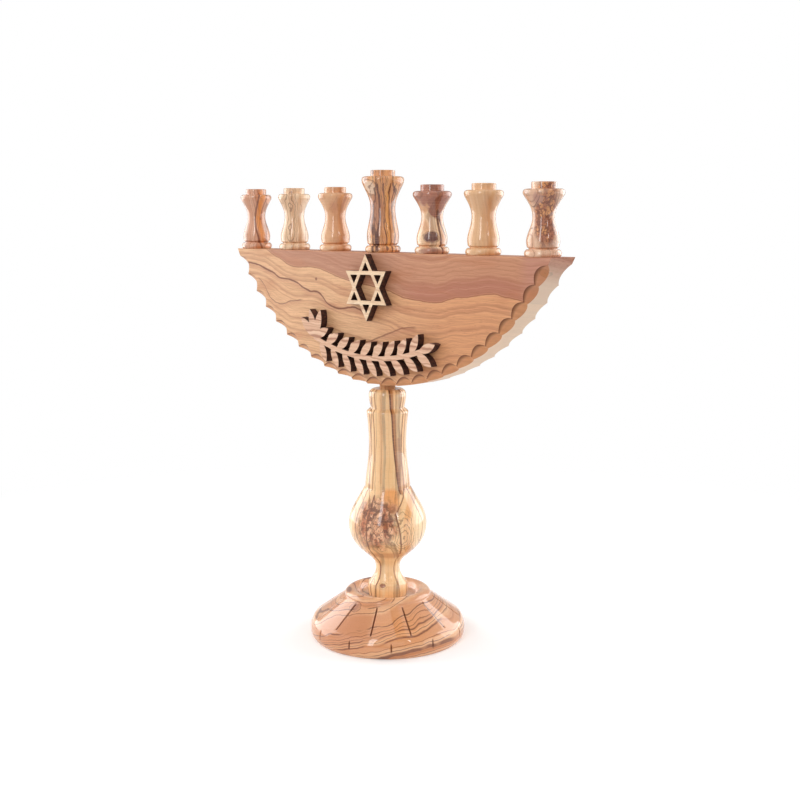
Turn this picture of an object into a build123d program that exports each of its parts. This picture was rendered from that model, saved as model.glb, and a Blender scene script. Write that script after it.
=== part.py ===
"""Seven-branch table menorah in turned and sawn olive wood.

Origin: centre of the base's underside, on the stem axis. +Z is up, the half-moon
board runs along X, and its front face looks towards -Y. Millimetres throughout.
"""

from build123d import *
import os
from math import atan2, cos, degrees, radians, sin, sqrt

# ---- base: a turned disc with a dished centre and hand-cut grooves ----
BASE_FOOT_R = 48.6
BASE_RIM_R = 50.5
BASE_RIM_Z = 5.0
BASE_FLANK_FOOT_IN = 2.6
BASE_FLANK_FOOT_Z = 13.2
BASE_FLANK_TOP_R = 28.0
BASE_FLANK_TOP_Z = 27.5
BASE_RING_R = 24.6
BASE_RING_Z = 31.0
BASE_DISH_R = 18.9
BASE_DISH_Z = 26.8
GROOVE_COUNT = 12
GROOVE_PHASE = 5.3
GROOVE_DRIFT = 4.0
GROOVE_DEPTH = 0.9
GROOVE_WIDTH = 1.5
NICK_LENGTH = 6.5
NICK_DEPTH = 1.1
NICK_TILT = 82.0

# ---- stem: one turned spindle ----
STEM_TOP_Z = 163.0
STEM_HEAD_R = 12.0
STEM_SHOULDER_R = 13.4
STEM_WAIST_R = 12.05
STEM_BAND_R = 14.5
STEM_BAND_HEIGHT = 3.0
STEM_BULB_R = 25.4
STEM_BULB_EDGE_R = 12.3
STEM_BULB_LENGTH = 46.0
STEM_COVE_R = 7.85
STEM_COVE_LENGTH = 16.8
STEM_FOOT_R = 12.9
STEM_FOOT_HEIGHT = 9.0

# ---- board: a half-moon slab with scoops cut along both lower corners ----
BOARD_LIFT = 3.0
BOARD_DROP = 83.4
BOARD_ARC_R = 157.2
BOARD_THICKNESS = 21.5
BOARD_SHIFT_X = -1.0
SCOOP_COUNT = 24
SCOOP_TOOL_R = 10.0
SCOOP_ON_FACE = 5.5
SCOOP_ON_EDGE = 4.7
SCOOP_PITCH = 4.98
SCOOP_PHASE = 2.3
SCOOP_DRIFT = 0.0157

# ---- candle cups: seven turned cups in a row on the board ----
CUP_PITCH = 42.6
CUP_ROW_X = -3.8
CUP_ROW_Y = -0.8
CUP_HEIGHT = 41.05
CENTRE_CUP_HEIGHT = 50.65
CUP_RING_R = 10.5
CENTRE_CUP_RING_R = 11.2
CUP_BELLY_R = 9.4
CENTRE_CUP_BELLY_R = 10.1
CUP_COLLAR_R = 7.1
CENTRE_CUP_COLLAR_R = 7.7
CUP_COLLAR_HEIGHT = 3.8
CUP_FOOT_HEIGHT = 4.4
CUP_RIM_R = (10.7, 10.8, 11.25, 13.3, 11.75, 11.55, 11.7)
CUP_WAIST_R = (6.2, 6.6, 6.6, 7.8, 6.5, 7.0, 6.2)
CUP_SETTING_X = (1.0, -0.1, -1.2, 0.8, 0.7, -1.0, 0.1)
CANDLE_BORE_R = 5.2
CANDLE_BORE_DEPTH = 14.0

# ---- hidden and half-hidden pins ----
DOWEL_R = 5.0
DOWEL_FLUTES = 12
DOWEL_FLUTE_DEPTH = 0.35
DOWEL_IN_STEM = 18.0
DOWEL_IN_BOARD = 15.0
DOWEL_IN_BASE = 14.0
CUP_PIN_R = 3.0
CUP_PIN_IN_CUP = 8.0
CUP_PIN_IN_BOARD = 12.0
GLUE_LINE = 0.1
GLUE_POCKET = 0.8

# ---- sawn ornaments glued on the board's front ----
ORNAMENT_THICKNESS = 5.2
STAR_R = 21.0
STAR_X = -3.1
STAR_DOWN = 21.8
STAR_TILT = 1.2
STAR_BAR = 2.5
BRANCH_INSET = 17.7
BRANCH_START = -21.8
BRANCH_END = 19.4
BRANCH_STEM_WIDTH = 3.0
LEAF_LENGTH = 14.5
LEAF_WIDTH = 5.6
LEAF_LEAN = 48.0
LEAF_PAIRS = 9
OLIVE_R = 3.1
SPRIG_LEAF_LENGTH = 19.0

BOARD_LOW_Z = STEM_TOP_Z + BOARD_LIFT
BOARD_TOP_Z = BOARD_LOW_Z + BOARD_DROP
BOARD_ARC_Z = BOARD_LOW_Z + BOARD_ARC_R
BOARD_HALF = sqrt(BOARD_ARC_R**2 - (BOARD_ARC_R - BOARD_DROP) ** 2)
BOARD_FRONT_Y = -BOARD_THICKNESS / 2
BRANCH_RADIUS = BOARD_ARC_R - BRANCH_INSET


def turned(outline):
    """Revolve a closed half-section, drawn in X and Z, about the Z axis."""
    return revolve(Plane.XZ * make_face(outline), Axis.Z)


def bore(radius, low_z, high_z):
    """A plain round cutter on the Z axis between two heights."""
    return Pos(0, 0, low_z) * Cylinder(radius, high_z - low_z, align=(Align.CENTER, Align.CENTER, Align.MIN))


def fluted_dowel(radius, length):
    """A straight dowel with small lengthwise flutes, standing on the origin."""
    pin = Cylinder(radius, length, align=(Align.CENTER, Align.CENTER, Align.MIN))
    pin = chamfer(pin.edges().filter_by(GeomType.CIRCLE), 0.8)
    flute = Cylinder(2 * DOWEL_FLUTE_DEPTH, length, align=(Align.CENTER, Align.CENTER, Align.MIN))
    ring = PolarLocations(radius + DOWEL_FLUTE_DEPTH, DOWEL_FLUTES)
    return pin - [place * flute for place in ring]


def groove_angle(index):
    """Angle of one flank groove: even spacing with the drift of marking by eye."""
    even = index * 360 / GROOVE_COUNT
    return even + GROOVE_PHASE + GROOVE_DRIFT * sin(radians(even + 10))


def make_base():
    """Disc with rounded rim, straight flank, bead ring, dish, grooves and nicks."""
    shoulder = (BASE_RIM_R - BASE_FLANK_FOOT_IN, BASE_FLANK_FOOT_Z)
    outline = [
        Line((0, 0), (BASE_FOOT_R, 0)),
        ThreePointArc((BASE_FOOT_R, 0), (BASE_RIM_R - 0.5, 2.0), (BASE_RIM_R, BASE_RIM_Z)),
        ThreePointArc((BASE_RIM_R, BASE_RIM_Z), (BASE_RIM_R - 0.7, 10.0), shoulder),
        Line(shoulder, (BASE_FLANK_TOP_R, BASE_FLANK_TOP_Z)),
        Line((BASE_FLANK_TOP_R, BASE_FLANK_TOP_Z), (BASE_FLANK_TOP_R, BASE_FLANK_TOP_Z + 1.2)),
        ThreePointArc(
            (BASE_FLANK_TOP_R, BASE_FLANK_TOP_Z + 1.2),
            (BASE_RING_R, BASE_RING_Z),
            (BASE_DISH_R, BASE_DISH_Z + 1.4),
        ),
        ThreePointArc(
            (BASE_DISH_R, BASE_DISH_Z + 1.4),
            (BASE_DISH_R - 0.9, BASE_DISH_Z + 0.4),
            (BASE_DISH_R - 2.2, BASE_DISH_Z),
        ),
        Line((BASE_DISH_R - 2.2, BASE_DISH_Z), (0, BASE_DISH_Z)),
        Line((0, BASE_DISH_Z), (0, 0)),
    ]
    body = turned(outline)
    run = shoulder[0] - BASE_FLANK_TOP_R
    fall = BASE_FLANK_TOP_Z - shoulder[1]
    slope = sqrt(run**2 + fall**2)
    middle = ((shoulder[0] + BASE_FLANK_TOP_R) / 2, (shoulder[1] + BASE_FLANK_TOP_Z) / 2)
    tilt = Vector(run, 0, -fall).get_angle(Vector(1, 0, 0))
    wedge = Polygon((0, -GROOVE_DEPTH), (GROOVE_WIDTH / 2, 0), (GROOVE_WIDTH / 2, 1), (-GROOVE_WIDTH / 2, 1),
                    (-GROOVE_WIDTH / 2, 0), align=None)
    groove = extrude(Plane.YZ * wedge, amount=(slope - 2.0) / 2, both=True)
    groove = Pos(middle[0], 0, middle[1]) * Rot(0, tilt, 0) * groove
    nick = extrude(Plane.YZ * wedge, amount=NICK_LENGTH / 2, both=True)
    nick = Pos(BASE_RIM_R - (NICK_DEPTH - GROOVE_DEPTH), 0, BASE_RIM_Z + 2.4) * Rot(0, NICK_TILT, 0) * nick
    for index in range(GROOVE_COUNT):
        angle = groove_angle(index)
        halfway = (angle + groove_angle(index + 1)) / 2
        body -= Rot(0, 0, angle) * groove
        body -= Rot(0, 0, halfway) * nick
    socket_floor = BASE_DISH_Z - DOWEL_IN_BASE - GLUE_POCKET
    return body - bore(DOWEL_R + GLUE_LINE, socket_floor, BASE_DISH_Z + 1)


def make_stem():
    """Spindle with a bead head, long necked shaft, bulb, cove and round foot."""
    foot_z = BASE_DISH_Z
    foot_top = foot_z + STEM_FOOT_HEIGHT
    cove_z = foot_top + 0.55 * STEM_COVE_LENGTH
    bulb_low = foot_top + STEM_COVE_LENGTH
    bulb_top = bulb_low + STEM_BULB_LENGTH
    band_z = bulb_top + STEM_BAND_HEIGHT
    band_r = STEM_BAND_R + 0.8
    shoulder_z = STEM_TOP_Z - 15.3
    neck = shoulder_z - band_z
    upper_swell = STEM_BULB_R - band_r
    lower_swell = STEM_BULB_R - STEM_BULB_EDGE_R
    outline = [
        Line((0, STEM_TOP_Z), (STEM_HEAD_R - 2.6, STEM_TOP_Z)),
        Spline(
            (STEM_HEAD_R - 2.6, STEM_TOP_Z),
            (STEM_HEAD_R - 0.7, STEM_TOP_Z - 1.4),
            (STEM_HEAD_R, STEM_TOP_Z - 5.0),
            (STEM_HEAD_R - 1.2, STEM_TOP_Z - 12.0),
        ),
        Line((STEM_HEAD_R - 1.2, STEM_TOP_Z - 12.0), (STEM_SHOULDER_R - 0.8, shoulder_z + 1.6)),
        ThreePointArc(
            (STEM_SHOULDER_R - 0.8, shoulder_z + 1.6),
            (STEM_SHOULDER_R - 0.1, shoulder_z + 0.9),
            (STEM_SHOULDER_R, shoulder_z),
        ),
        Spline(
            (STEM_SHOULDER_R, shoulder_z),
            (STEM_WAIST_R + 0.35, band_z + 0.77 * neck),
            (STEM_WAIST_R, band_z + 0.59 * neck),
            (STEM_WAIST_R + 0.5, band_z + 0.36 * neck),
            (STEM_BAND_R - 0.8, band_z + 0.14 * neck),
            (STEM_BAND_R, band_z),
        ),
        Line((STEM_BAND_R, band_z), (STEM_BAND_R + 0.1, bulb_top + 0.6)),
        Line((STEM_BAND_R + 0.1, bulb_top + 0.6), (band_r, bulb_top)),
        Spline(
            (band_r, bulb_top),
            (band_r + 0.37 * upper_swell, bulb_low + 0.857 * STEM_BULB_LENGTH),
            (band_r + 0.91 * upper_swell, bulb_low + 0.617 * STEM_BULB_LENGTH),
            (STEM_BULB_R, bulb_low + 0.487 * STEM_BULB_LENGTH),
            (STEM_BULB_EDGE_R + 0.77 * lower_swell, bulb_low + 0.248 * STEM_BULB_LENGTH),
            (STEM_BULB_EDGE_R + 0.22 * lower_swell, bulb_low + 0.072 * STEM_BULB_LENGTH),
            (STEM_BULB_EDGE_R, bulb_low + 0.8),
        ),
        Line((STEM_BULB_EDGE_R, bulb_low + 0.8), (STEM_BULB_EDGE_R - 1.0, bulb_low)),
        Spline(
            (STEM_BULB_EDGE_R - 1.0, bulb_low),
            (STEM_COVE_R + 0.75, cove_z + 0.24 * STEM_COVE_LENGTH),
            (STEM_COVE_R, cove_z),
            (STEM_COVE_R + 0.75, cove_z - 0.24 * STEM_COVE_LENGTH),
            (STEM_FOOT_R - 1.3, foot_top + 0.5),
        ),
        Line((STEM_FOOT_R - 1.3, foot_top + 0.5), (STEM_FOOT_R - 0.4, foot_top - 0.4)),
        ThreePointArc(
            (STEM_FOOT_R - 0.4, foot_top - 0.4),
            (STEM_FOOT_R, foot_z + STEM_FOOT_HEIGHT / 2),
            (STEM_FOOT_R - 0.5, foot_z),
        ),
        Line((STEM_FOOT_R - 0.5, foot_z), (0, foot_z)),
        Line((0, foot_z), (0, STEM_TOP_Z)),
    ]
    body = turned(outline)
    body -= bore(DOWEL_R + GLUE_LINE, STEM_TOP_Z - DOWEL_IN_STEM - GLUE_POCKET, STEM_TOP_Z + 1)
    return body - bore(DOWEL_R + GLUE_LINE, foot_z - 1, foot_z + DOWEL_IN_STEM + GLUE_POCKET)


def cup_x(index):
    """Centre of one cup along the board."""
    return CUP_ROW_X + (index - 3) * CUP_PITCH + CUP_SETTING_X[index]


def scoop_angle(index):
    """Angle of one scoop along the arc, from straight down, with its slow drift."""
    step = index - (SCOOP_COUNT - 1) / 2
    return SCOOP_PHASE + SCOOP_PITCH * step - SCOOP_DRIFT * step**2


def make_board():
    """Half-moon slab, scooped on both lower corners and bored for its dowels."""
    centre = (BOARD_SHIFT_X, BOARD_ARC_Z)
    left = (BOARD_SHIFT_X - BOARD_HALF, BOARD_TOP_Z)
    right = (BOARD_SHIFT_X + BOARD_HALF, BOARD_TOP_Z)
    outline = [Line(left, right), ThreePointArc(right, (BOARD_SHIFT_X, BOARD_LOW_Z), left)]
    slab = extrude(Plane.XZ * make_face(outline), amount=BOARD_THICKNESS / 2, both=True)
    slant = degrees(atan2(SCOOP_ON_EDGE, SCOOP_ON_FACE))
    cut_depth = SCOOP_ON_FACE * sin(radians(slant))
    out = SCOOP_TOOL_R - cut_depth
    out_y = BOARD_THICKNESS / 2 + out * cos(radians(slant))
    out_z = -BOARD_ARC_R - out * sin(radians(slant))
    drum = Cylinder(SCOOP_TOOL_R, 6 * SCOOP_TOOL_R)
    for side in (-1, 1):
        cut = Pos(0, side * out_y, out_z) * Rot(-side * slant, 0, 0) * drum
        for index in range(SCOOP_COUNT):
            slab -= Pos(centre[0], 0, centre[1]) * Rot(0, -scoop_angle(index), 0) * cut
    slab -= bore(DOWEL_R + GLUE_LINE, BOARD_LOW_Z - 5, BOARD_LOW_Z + DOWEL_IN_BOARD + GLUE_POCKET)
    pin_hole = bore(CUP_PIN_R + GLUE_LINE, BOARD_TOP_Z - CUP_PIN_IN_BOARD - GLUE_POCKET, BOARD_TOP_Z + 1)
    for index in range(len(CUP_RIM_R)):
        slab -= Pos(cup_x(index), CUP_ROW_Y, 0) * pin_hole
    return slab


def make_cup(index):
    """One turned cup: ring foot, belly, waist, flared rim, collar and candle bore."""
    centre = index == 3
    height = CENTRE_CUP_HEIGHT if centre else CUP_HEIGHT
    ring = CENTRE_CUP_RING_R if centre else CUP_RING_R
    belly = CENTRE_CUP_BELLY_R if centre else CUP_BELLY_R
    collar = CENTRE_CUP_COLLAR_R if centre else CUP_COLLAR_R
    waist = CUP_WAIST_R[index]
    rim = CUP_RIM_R[index]
    lip = height - CUP_COLLAR_HEIGHT
    foot = CUP_FOOT_HEIGHT
    body_height = lip - foot
    outline = [
        Line((0, 0), (ring - 0.9, 0)),
        ThreePointArc((ring - 0.9, 0), (ring, 2.1), (ring - 0.6, foot - 0.5)),
        Line((ring - 0.6, foot - 0.5), (belly - 0.5, foot)),
        Spline(
            (belly - 0.5, foot),
            (belly, foot + 0.14 * body_height),
            (belly - 0.27 * (belly - waist), foot + 0.26 * body_height),
            (waist, foot + 0.51 * body_height),
            (waist + 0.13 * (rim - waist), foot + 0.66 * body_height),
            (waist + 0.80 * (rim - waist), foot + 0.86 * body_height),
            (rim, foot + 0.94 * body_height),
            (rim - 0.4, lip - 0.7),
            (rim - 1.7, lip),
        ),
        Line((rim - 1.7, lip), (collar, lip)),
        Line((collar, lip), (collar, height - 0.5)),
        ThreePointArc((collar, height - 0.5), (collar - 0.15, height - 0.15), (collar - 0.5, height)),
        Line((collar - 0.5, height), (0, height)),
        Line((0, height), (0, 0)),
    ]
    body = turned(outline)
    body -= bore(CANDLE_BORE_R, height - CANDLE_BORE_DEPTH, height + 1)
    body -= bore(CUP_PIN_R + GLUE_LINE, -1, CUP_PIN_IN_CUP + GLUE_POCKET)
    return Pos(cup_x(index), CUP_ROW_Y, BOARD_TOP_Z) * body


def make_cup_pin(index):
    """Hidden dowel pin that locates one cup on the board."""
    length = CUP_PIN_IN_CUP + CUP_PIN_IN_BOARD
    pin = Cylinder(CUP_PIN_R, length, align=(Align.CENTER, Align.CENTER, Align.MIN))
    pin = chamfer(pin.edges().filter_by(GeomType.CIRCLE), 0.5)
    return Pos(cup_x(index), CUP_ROW_Y, BOARD_TOP_Z - CUP_PIN_IN_BOARD) * pin


def on_front(sketch):
    """Turn a sketch drawn in X and Z into an ornament on the board's front face."""
    return extrude(Plane.XZ.offset(-BOARD_FRONT_Y) * sketch, amount=ORNAMENT_THICKNESS)


def make_star():
    """Hexagram sawn in one piece from two crossed triangle outlines."""
    outline = Sketch()
    hollow_r = STAR_R - 2 * STAR_BAR
    for turn in (90, 270):
        solid = RegularPolygon(STAR_R, 3, rotation=turn)
        hollow = RegularPolygon(hollow_r, 3, rotation=turn)
        outline += solid - hollow
    return on_front(Pos(STAR_X, BOARD_TOP_Z - STAR_DOWN) * Rot(0, 0, STAR_TILT) * outline)


def leaf(length, width):
    """A pointed leaf along +X with its stalk end at the origin."""
    edge = ThreePointArc((0, 0), (length * 0.5, width / 2), (length, 0))
    back = ThreePointArc((length, 0), (length * 0.5, -width / 2), (0, 0))
    return make_face([edge, back])


def branch_place(angle, out=0.0):
    """A place on the branch line, turned so that local +X runs along the branch."""
    radius = BRANCH_RADIUS + out
    x = BOARD_SHIFT_X + radius * sin(radians(angle))
    z = BOARD_ARC_Z - radius * cos(radians(angle))
    return Pos(x, z) * Rot(0, 0, angle)


def make_olive_branch():
    """Olive branch sawn in one piece, following the board's lower edge."""
    inner = BRANCH_RADIUS - BRANCH_STEM_WIDTH / 2
    outer = BRANCH_RADIUS + BRANCH_STEM_WIDTH / 2
    rim = []
    for radius in (inner, outer):
        points = []
        for angle in (BRANCH_START, (BRANCH_START + BRANCH_END) / 2, BRANCH_END):
            points.append((BOARD_SHIFT_X + radius * sin(radians(angle)), BOARD_ARC_Z - radius * cos(radians(angle))))
        rim.append(points)
    twig = make_face([
        ThreePointArc(*rim[0]),
        Line(rim[0][2], rim[1][2]),
        ThreePointArc(*rim[1]),
        Line(rim[1][0], rim[0][0]),
    ])
    blade = leaf(LEAF_LENGTH, LEAF_WIDTH)
    long_blade = leaf(SPRIG_LEAF_LENGTH, LEAF_WIDTH + 0.6)
    step = (BRANCH_END - BRANCH_START) / LEAF_PAIRS
    for pair in range(LEAF_PAIRS):
        angle = BRANCH_START + step * (pair + 0.1)
        twig += branch_place(angle) * Rot(0, 0, LEAF_LEAN) * blade
        twig += branch_place(angle + step / 2) * Rot(0, 0, -LEAF_LEAN) * blade
        if pair % 2 == 1:
            twig += branch_place(angle + 0.4 * step, -5.2) * Circle(OLIVE_R)
            twig += branch_place(angle + 0.4 * step, -2.0) * Rectangle(1.4, 5.0)
    twig += branch_place(BRANCH_END - 1.0) * Rot(0, 0, 4) * blade
    for lean in (95, 128, 160):
        twig += branch_place(BRANCH_START + 0.6) * Rot(0, 0, lean) * long_blade
    return on_front(twig)


def write(shape, node):
    """Save one sub-part under its node name."""
    export_step(shape, "parts/" + node + ".step")


os.makedirs("parts", exist_ok=True)
top_dowel = fluted_dowel(DOWEL_R, DOWEL_IN_STEM + BOARD_LIFT + DOWEL_IN_BOARD)
foot_dowel = fluted_dowel(DOWEL_R, DOWEL_IN_BASE + DOWEL_IN_STEM)
write(make_base(), "base")
write(make_stem(), "stem")
write(make_board(), "board")
write(Pos(0, 0, STEM_TOP_Z - DOWEL_IN_STEM) * top_dowel, "stem_top_dowel")
write(Pos(0, 0, BASE_DISH_Z - DOWEL_IN_BASE) * foot_dowel, "stem_foot_dowel")
for number in range(len(CUP_RIM_R)):
    write(make_cup(number), f"cup_{number + 1}")
    write(make_cup_pin(number), f"cup_pin_{number + 1}")
write(make_star(), "star")
write(make_olive_branch(), "olive_branch")
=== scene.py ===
"""Seven-branch olive-wood menorah: the visual model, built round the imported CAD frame.

The classes hold their sizes in millimetres in the CAD frame: +Z up the stem, the board
along X, its front face towards -Y. MM turns them into Blender's metres when a mesh is
made. Each turned piece is a half-section carried round the Z axis, the board is a grid
of radial columns, and the sawn ornaments are merged copies of their CAD outlines.
"""

import logging
import math
from dataclasses import dataclass, replace
from enum import Enum

import bmesh
import bpy
import numpy as np
from mathutils import Euler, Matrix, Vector


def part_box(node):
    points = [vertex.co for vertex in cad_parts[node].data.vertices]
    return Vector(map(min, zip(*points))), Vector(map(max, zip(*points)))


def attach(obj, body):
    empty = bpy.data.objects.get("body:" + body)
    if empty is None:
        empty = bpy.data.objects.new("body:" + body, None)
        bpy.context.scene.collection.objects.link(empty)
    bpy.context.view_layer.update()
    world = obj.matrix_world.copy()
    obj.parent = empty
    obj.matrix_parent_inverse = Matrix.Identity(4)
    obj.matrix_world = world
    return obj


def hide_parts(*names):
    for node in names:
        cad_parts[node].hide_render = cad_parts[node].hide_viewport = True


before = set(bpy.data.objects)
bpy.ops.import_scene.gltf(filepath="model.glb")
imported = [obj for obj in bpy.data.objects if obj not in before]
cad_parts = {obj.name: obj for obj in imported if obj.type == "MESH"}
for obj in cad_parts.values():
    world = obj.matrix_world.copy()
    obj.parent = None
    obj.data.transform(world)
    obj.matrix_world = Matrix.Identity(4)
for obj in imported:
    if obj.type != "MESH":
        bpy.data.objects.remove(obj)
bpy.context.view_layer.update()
MM = 0.001
log = logging.getLogger("menorah")

Triple = tuple[float, float, float]
Pair = tuple[float, float]
Socket = bpy.types.NodeSocket

# Turn of the camera's side to the right of the board's front face, in degrees.
FRONT_TURN = 45.64
# Edges that turn more than this many degrees are shaded crisp.
CRISP_OVER = 32.0
# Points nearer to each other than this, in metres, are merged.
MERGE_UNDER = 1e-6


def around(turn: float, distance: float, height: float = 0.0) -> Triple:
    """A place round the Z axis, by its turn to the right of the camera's side.

    It is (d sin a, -d cos a, h), where the angle a is the front turn plus the turn.

    Args:
        turn: Degrees to the right of the camera's side.
        distance: Distance from the axis.
        height: Height above the origin.

    Returns:
        Its X, Y and Z.
    """
    angle = math.radians(FRONT_TURN + turn)
    return (distance * math.sin(angle), -distance * math.cos(angle), height)


def srgb(red: float, green: float, blue: float) -> tuple[float, float, float, float]:
    """Turn a display colour, 0 to 255 a channel, into a linear RGBA value.

    With c = channel / 255 the linear value is ((c + 0.055) / 1.055) ^ 2.4, or c / 12.92
    where c is under 0.04045.

    Args:
        red: Display red.
        green: Display green.
        blue: Display blue.

    Returns:
        Linear red, green, blue and an alpha of one.
    """
    display = np.array((red, green, blue)) / 255.0
    linear = np.where(display > 0.04045, ((display + 0.055) / 1.055) ** 2.4, display / 12.92)
    return (float(linear[0]), float(linear[1]), float(linear[2]), 1.0)


# --------------------------------------------------------------------------- outlines


def natural_spline(knots: np.ndarray, steps: int) -> np.ndarray:
    """Sample the natural cubic spline through a row of knots.

    The parameter is the chord length s. Second derivatives m solve the usual
    tridiagonal system with m = 0 at both ends, and each span is the cubic
    (m0 (s1-s)^3 + m1 (s-s0)^3) / 6h plus the straight terms that meet the knots.

    Args:
        knots: Points as an (n, 2) array.
        steps: Samples in each span.

    Returns:
        The samples as an (n', 2) array, from the first knot to the last.
    """
    gap = np.linalg.norm(np.diff(knots, axis=0), axis=1)
    station = np.concatenate(([0.0], np.cumsum(gap)))
    count = len(knots)
    system = np.eye(count)
    right = np.zeros((count, 2))
    inner = np.arange(1, count - 1)
    system[inner, inner - 1] = gap[:-1]
    system[inner, inner] = 2 * (gap[:-1] + gap[1:])
    system[inner, inner + 1] = gap[1:]
    slope = np.diff(knots, axis=0) / gap[:, None]
    right[1:-1] = 6 * np.diff(slope, axis=0)
    bend = np.linalg.solve(system, right)
    span = np.repeat(np.arange(count - 1), steps)
    share = np.tile(np.arange(steps) / steps, count - 1)
    after = (share * gap[span])[:, None]
    before = ((1 - share) * gap[span])[:, None]
    width = gap[span][:, None]
    curve = (bend[span] * before**3 + bend[span + 1] * after**3) / (6 * width)
    curve += (knots[span] / width - bend[span] * width / 6) * before
    curve += (knots[span + 1] / width - bend[span + 1] * width / 6) * after
    return np.vstack((curve, knots[-1:]))


def circle_through(start: Pair, middle: Pair, end: Pair, steps: int) -> np.ndarray:
    """Sample the arc of a circle through three points.

    The centre is where the perpendicular bisectors meet, and the angle runs evenly
    from start to end on the side that holds the middle point.

    Args:
        start: First point.
        middle: A point on the way.
        end: Last point.
        steps: Number of spans.

    Returns:
        The samples as a (steps + 1, 2) array.
    """
    corners = np.array((start, middle, end), float)
    system = 2 * (corners[1:] - corners[0])
    centre = np.linalg.solve(system, np.sum(corners[1:] ** 2, axis=1) - np.sum(corners[0] ** 2))
    arms = corners - centre
    angles = np.arctan2(arms[:, 1], arms[:, 0])
    turn_mid = (angles[1] - angles[0]) % (2 * math.pi)
    turn_end = (angles[2] - angles[0]) % (2 * math.pi)
    sweep = turn_end if turn_mid < turn_end else turn_end - 2 * math.pi
    along = angles[0] + sweep * np.linspace(0, 1, steps + 1)
    return centre + np.linalg.norm(arms[0]) * np.column_stack((np.cos(along), np.sin(along)))


class Outline:
    """A half-section in radius and height, drawn stroke by stroke from axis to axis."""

    def __init__(self, radius: float, height: float) -> None:
        """Start the outline at one point."""
        self.points = [(radius, height)]
        self.corners: list[int] = []

    def _append(self, samples: np.ndarray) -> "Outline":
        """Add a stroke and remember the corner that it starts from.

        Args:
            samples: Points of the stroke, whose first is the outline's last.

        Returns:
            This outline, so that strokes chain.
        """
        self.corners.append(len(self.points) - 1)
        self.points += [tuple(pair) for pair in samples[1:].tolist()]
        return self

    def line(self, radius: float, height: float, steps: int = 1) -> "Outline":
        """Draw a straight stroke.

        Args:
            radius: End radius.
            height: End height.
            steps: Number of spans.

        Returns:
            This outline, so that strokes chain.
        """
        share = np.linspace(0, 1, steps + 1)[:, None]
        start = np.array(self.points[-1])
        return self._append(start + share * (np.array((radius, height)) - start))

    def arc(self, middle: Pair, end: Pair, steps: int = 8) -> "Outline":
        """Draw a round stroke through a middle point."""
        return self._append(circle_through(self.points[-1], middle, end, steps))

    def spline(self, stations: tuple[Pair, ...], steps: int = 7) -> "Outline":
        """Draw a flowing stroke through a row of stations."""
        return self._append(natural_spline(np.array((self.points[-1], *stations), float), steps))

    def eased(self, ease: float) -> np.ndarray:
        """Round off each sharp corner as sandpaper does.

        Within one ease length of a corner the outline is replaced by the parabola
        (1-t)^2 A + 2 t (1-t) C + t^2 B, where C is the corner and A and B lie on the
        outline one ease length before and after it.

        Args:
            ease: Length taken off each side of a corner.

        Returns:
            Radius and height of each row as an (n, 2) array.
        """
        path = np.array(self.points, float)
        station = np.concatenate(([0.0], np.cumsum(np.linalg.norm(np.diff(path, axis=0), axis=1))))
        keep = np.ones(len(path), bool)
        rows = []
        share = np.linspace(0, 1, 5)[:, None]
        for corner in self.corners[1:]:
            arrive = path[corner] - path[corner - 1]
            leave = path[corner + 1] - path[corner]
            turn = np.cross(arrive, leave) / np.linalg.norm(arrive) / np.linalg.norm(leave)
            if abs(turn) < 0.25 or path[corner, 0] < 1e-6:
                continue
            keep &= np.abs(station - station[corner]) > ease
            ends = station[corner] + np.array((-ease, ease))
            cut = np.column_stack([np.interp(ends, station, path[:, axis]) for axis in (0, 1)])
            curve = (1 - share) ** 2 * cut[0] + 2 * share * (1 - share) * path[corner] + share**2 * cut[1]
            places = station[corner] + ease * (2 * share - 1)
            rows.append(np.hstack((places, curve)))
        rows.append(np.column_stack((station, path))[keep])
        table = np.vstack(rows)
        return table[np.argsort(table[:, 0], kind="stable")][:, 1:]


# ----------------------------------------------------------------------------- meshes


def link_object(name: str, data: bpy.types.ID) -> bpy.types.Object:
    """Make an object at the origin and put it into the scene.

    Args:
        name: Object name.
        data: Its mesh, lamp or camera.

    Returns:
        The linked object.
    """
    linked = bpy.data.objects.new(name, data)
    bpy.context.scene.collection.objects.link(linked)
    return linked


def shade_smooth(mesh: bpy.types.Mesh) -> None:
    """Shade a mesh smooth but for its crisp edges."""
    mesh.polygons.foreach_set("use_smooth", np.ones(len(mesh.polygons), bool))
    mesh.set_sharp_from_angle(angle=math.radians(CRISP_OVER))


def make_piece(name: str, verts: np.ndarray, faces: list) -> bpy.types.Object:
    """Put points and faces into a smooth-shaded object at the origin.

    Args:
        name: Object name.
        verts: Points in millimetres as an (n, 3) array.
        faces: Vertex numbers of each face.

    Returns:
        The linked object, riding on the root body.
    """
    mesh = bpy.data.meshes.new(name)
    mesh.from_pydata((verts * MM).tolist(), [], faces)
    shade_smooth(mesh)
    mesh.validate()
    piece = link_object(name, mesh)
    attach(piece, "root")
    return piece


def store_share(piece: bpy.types.Object, name: str, share: np.ndarray) -> None:
    """Keep one number for each vertex, which the piece's finish reads by its name."""
    attribute = piece.data.attributes.new(name, "FLOAT", "POINT")
    attribute.data.foreach_set("value", share)


def grid_faces(rows: int, columns: int) -> np.ndarray:
    """Quads of a grid whose columns close on themselves.

    The quad at row i and column j joins points j and j + 1 of rows i and i + 1, and
    the last column joins the first.

    Args:
        rows: Number of rows of points.
        columns: Number of points in each row.

    Returns:
        Vertex numbers as a ((rows - 1) * columns, 4) array.
    """
    low = np.arange(rows - 1)[:, None] * columns
    here = np.arange(columns)[None, :]
    beside = (here + 1) % columns
    quads = (low + here, low + beside, low + beside + columns, low + here + columns)
    return np.stack(quads, axis=-1).reshape(-1, 4)


def even_turn(columns: int) -> np.ndarray:
    """Angles of evenly spaced columns round the axis, in radians."""
    return np.arange(columns) * 2 * math.pi / columns


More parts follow.
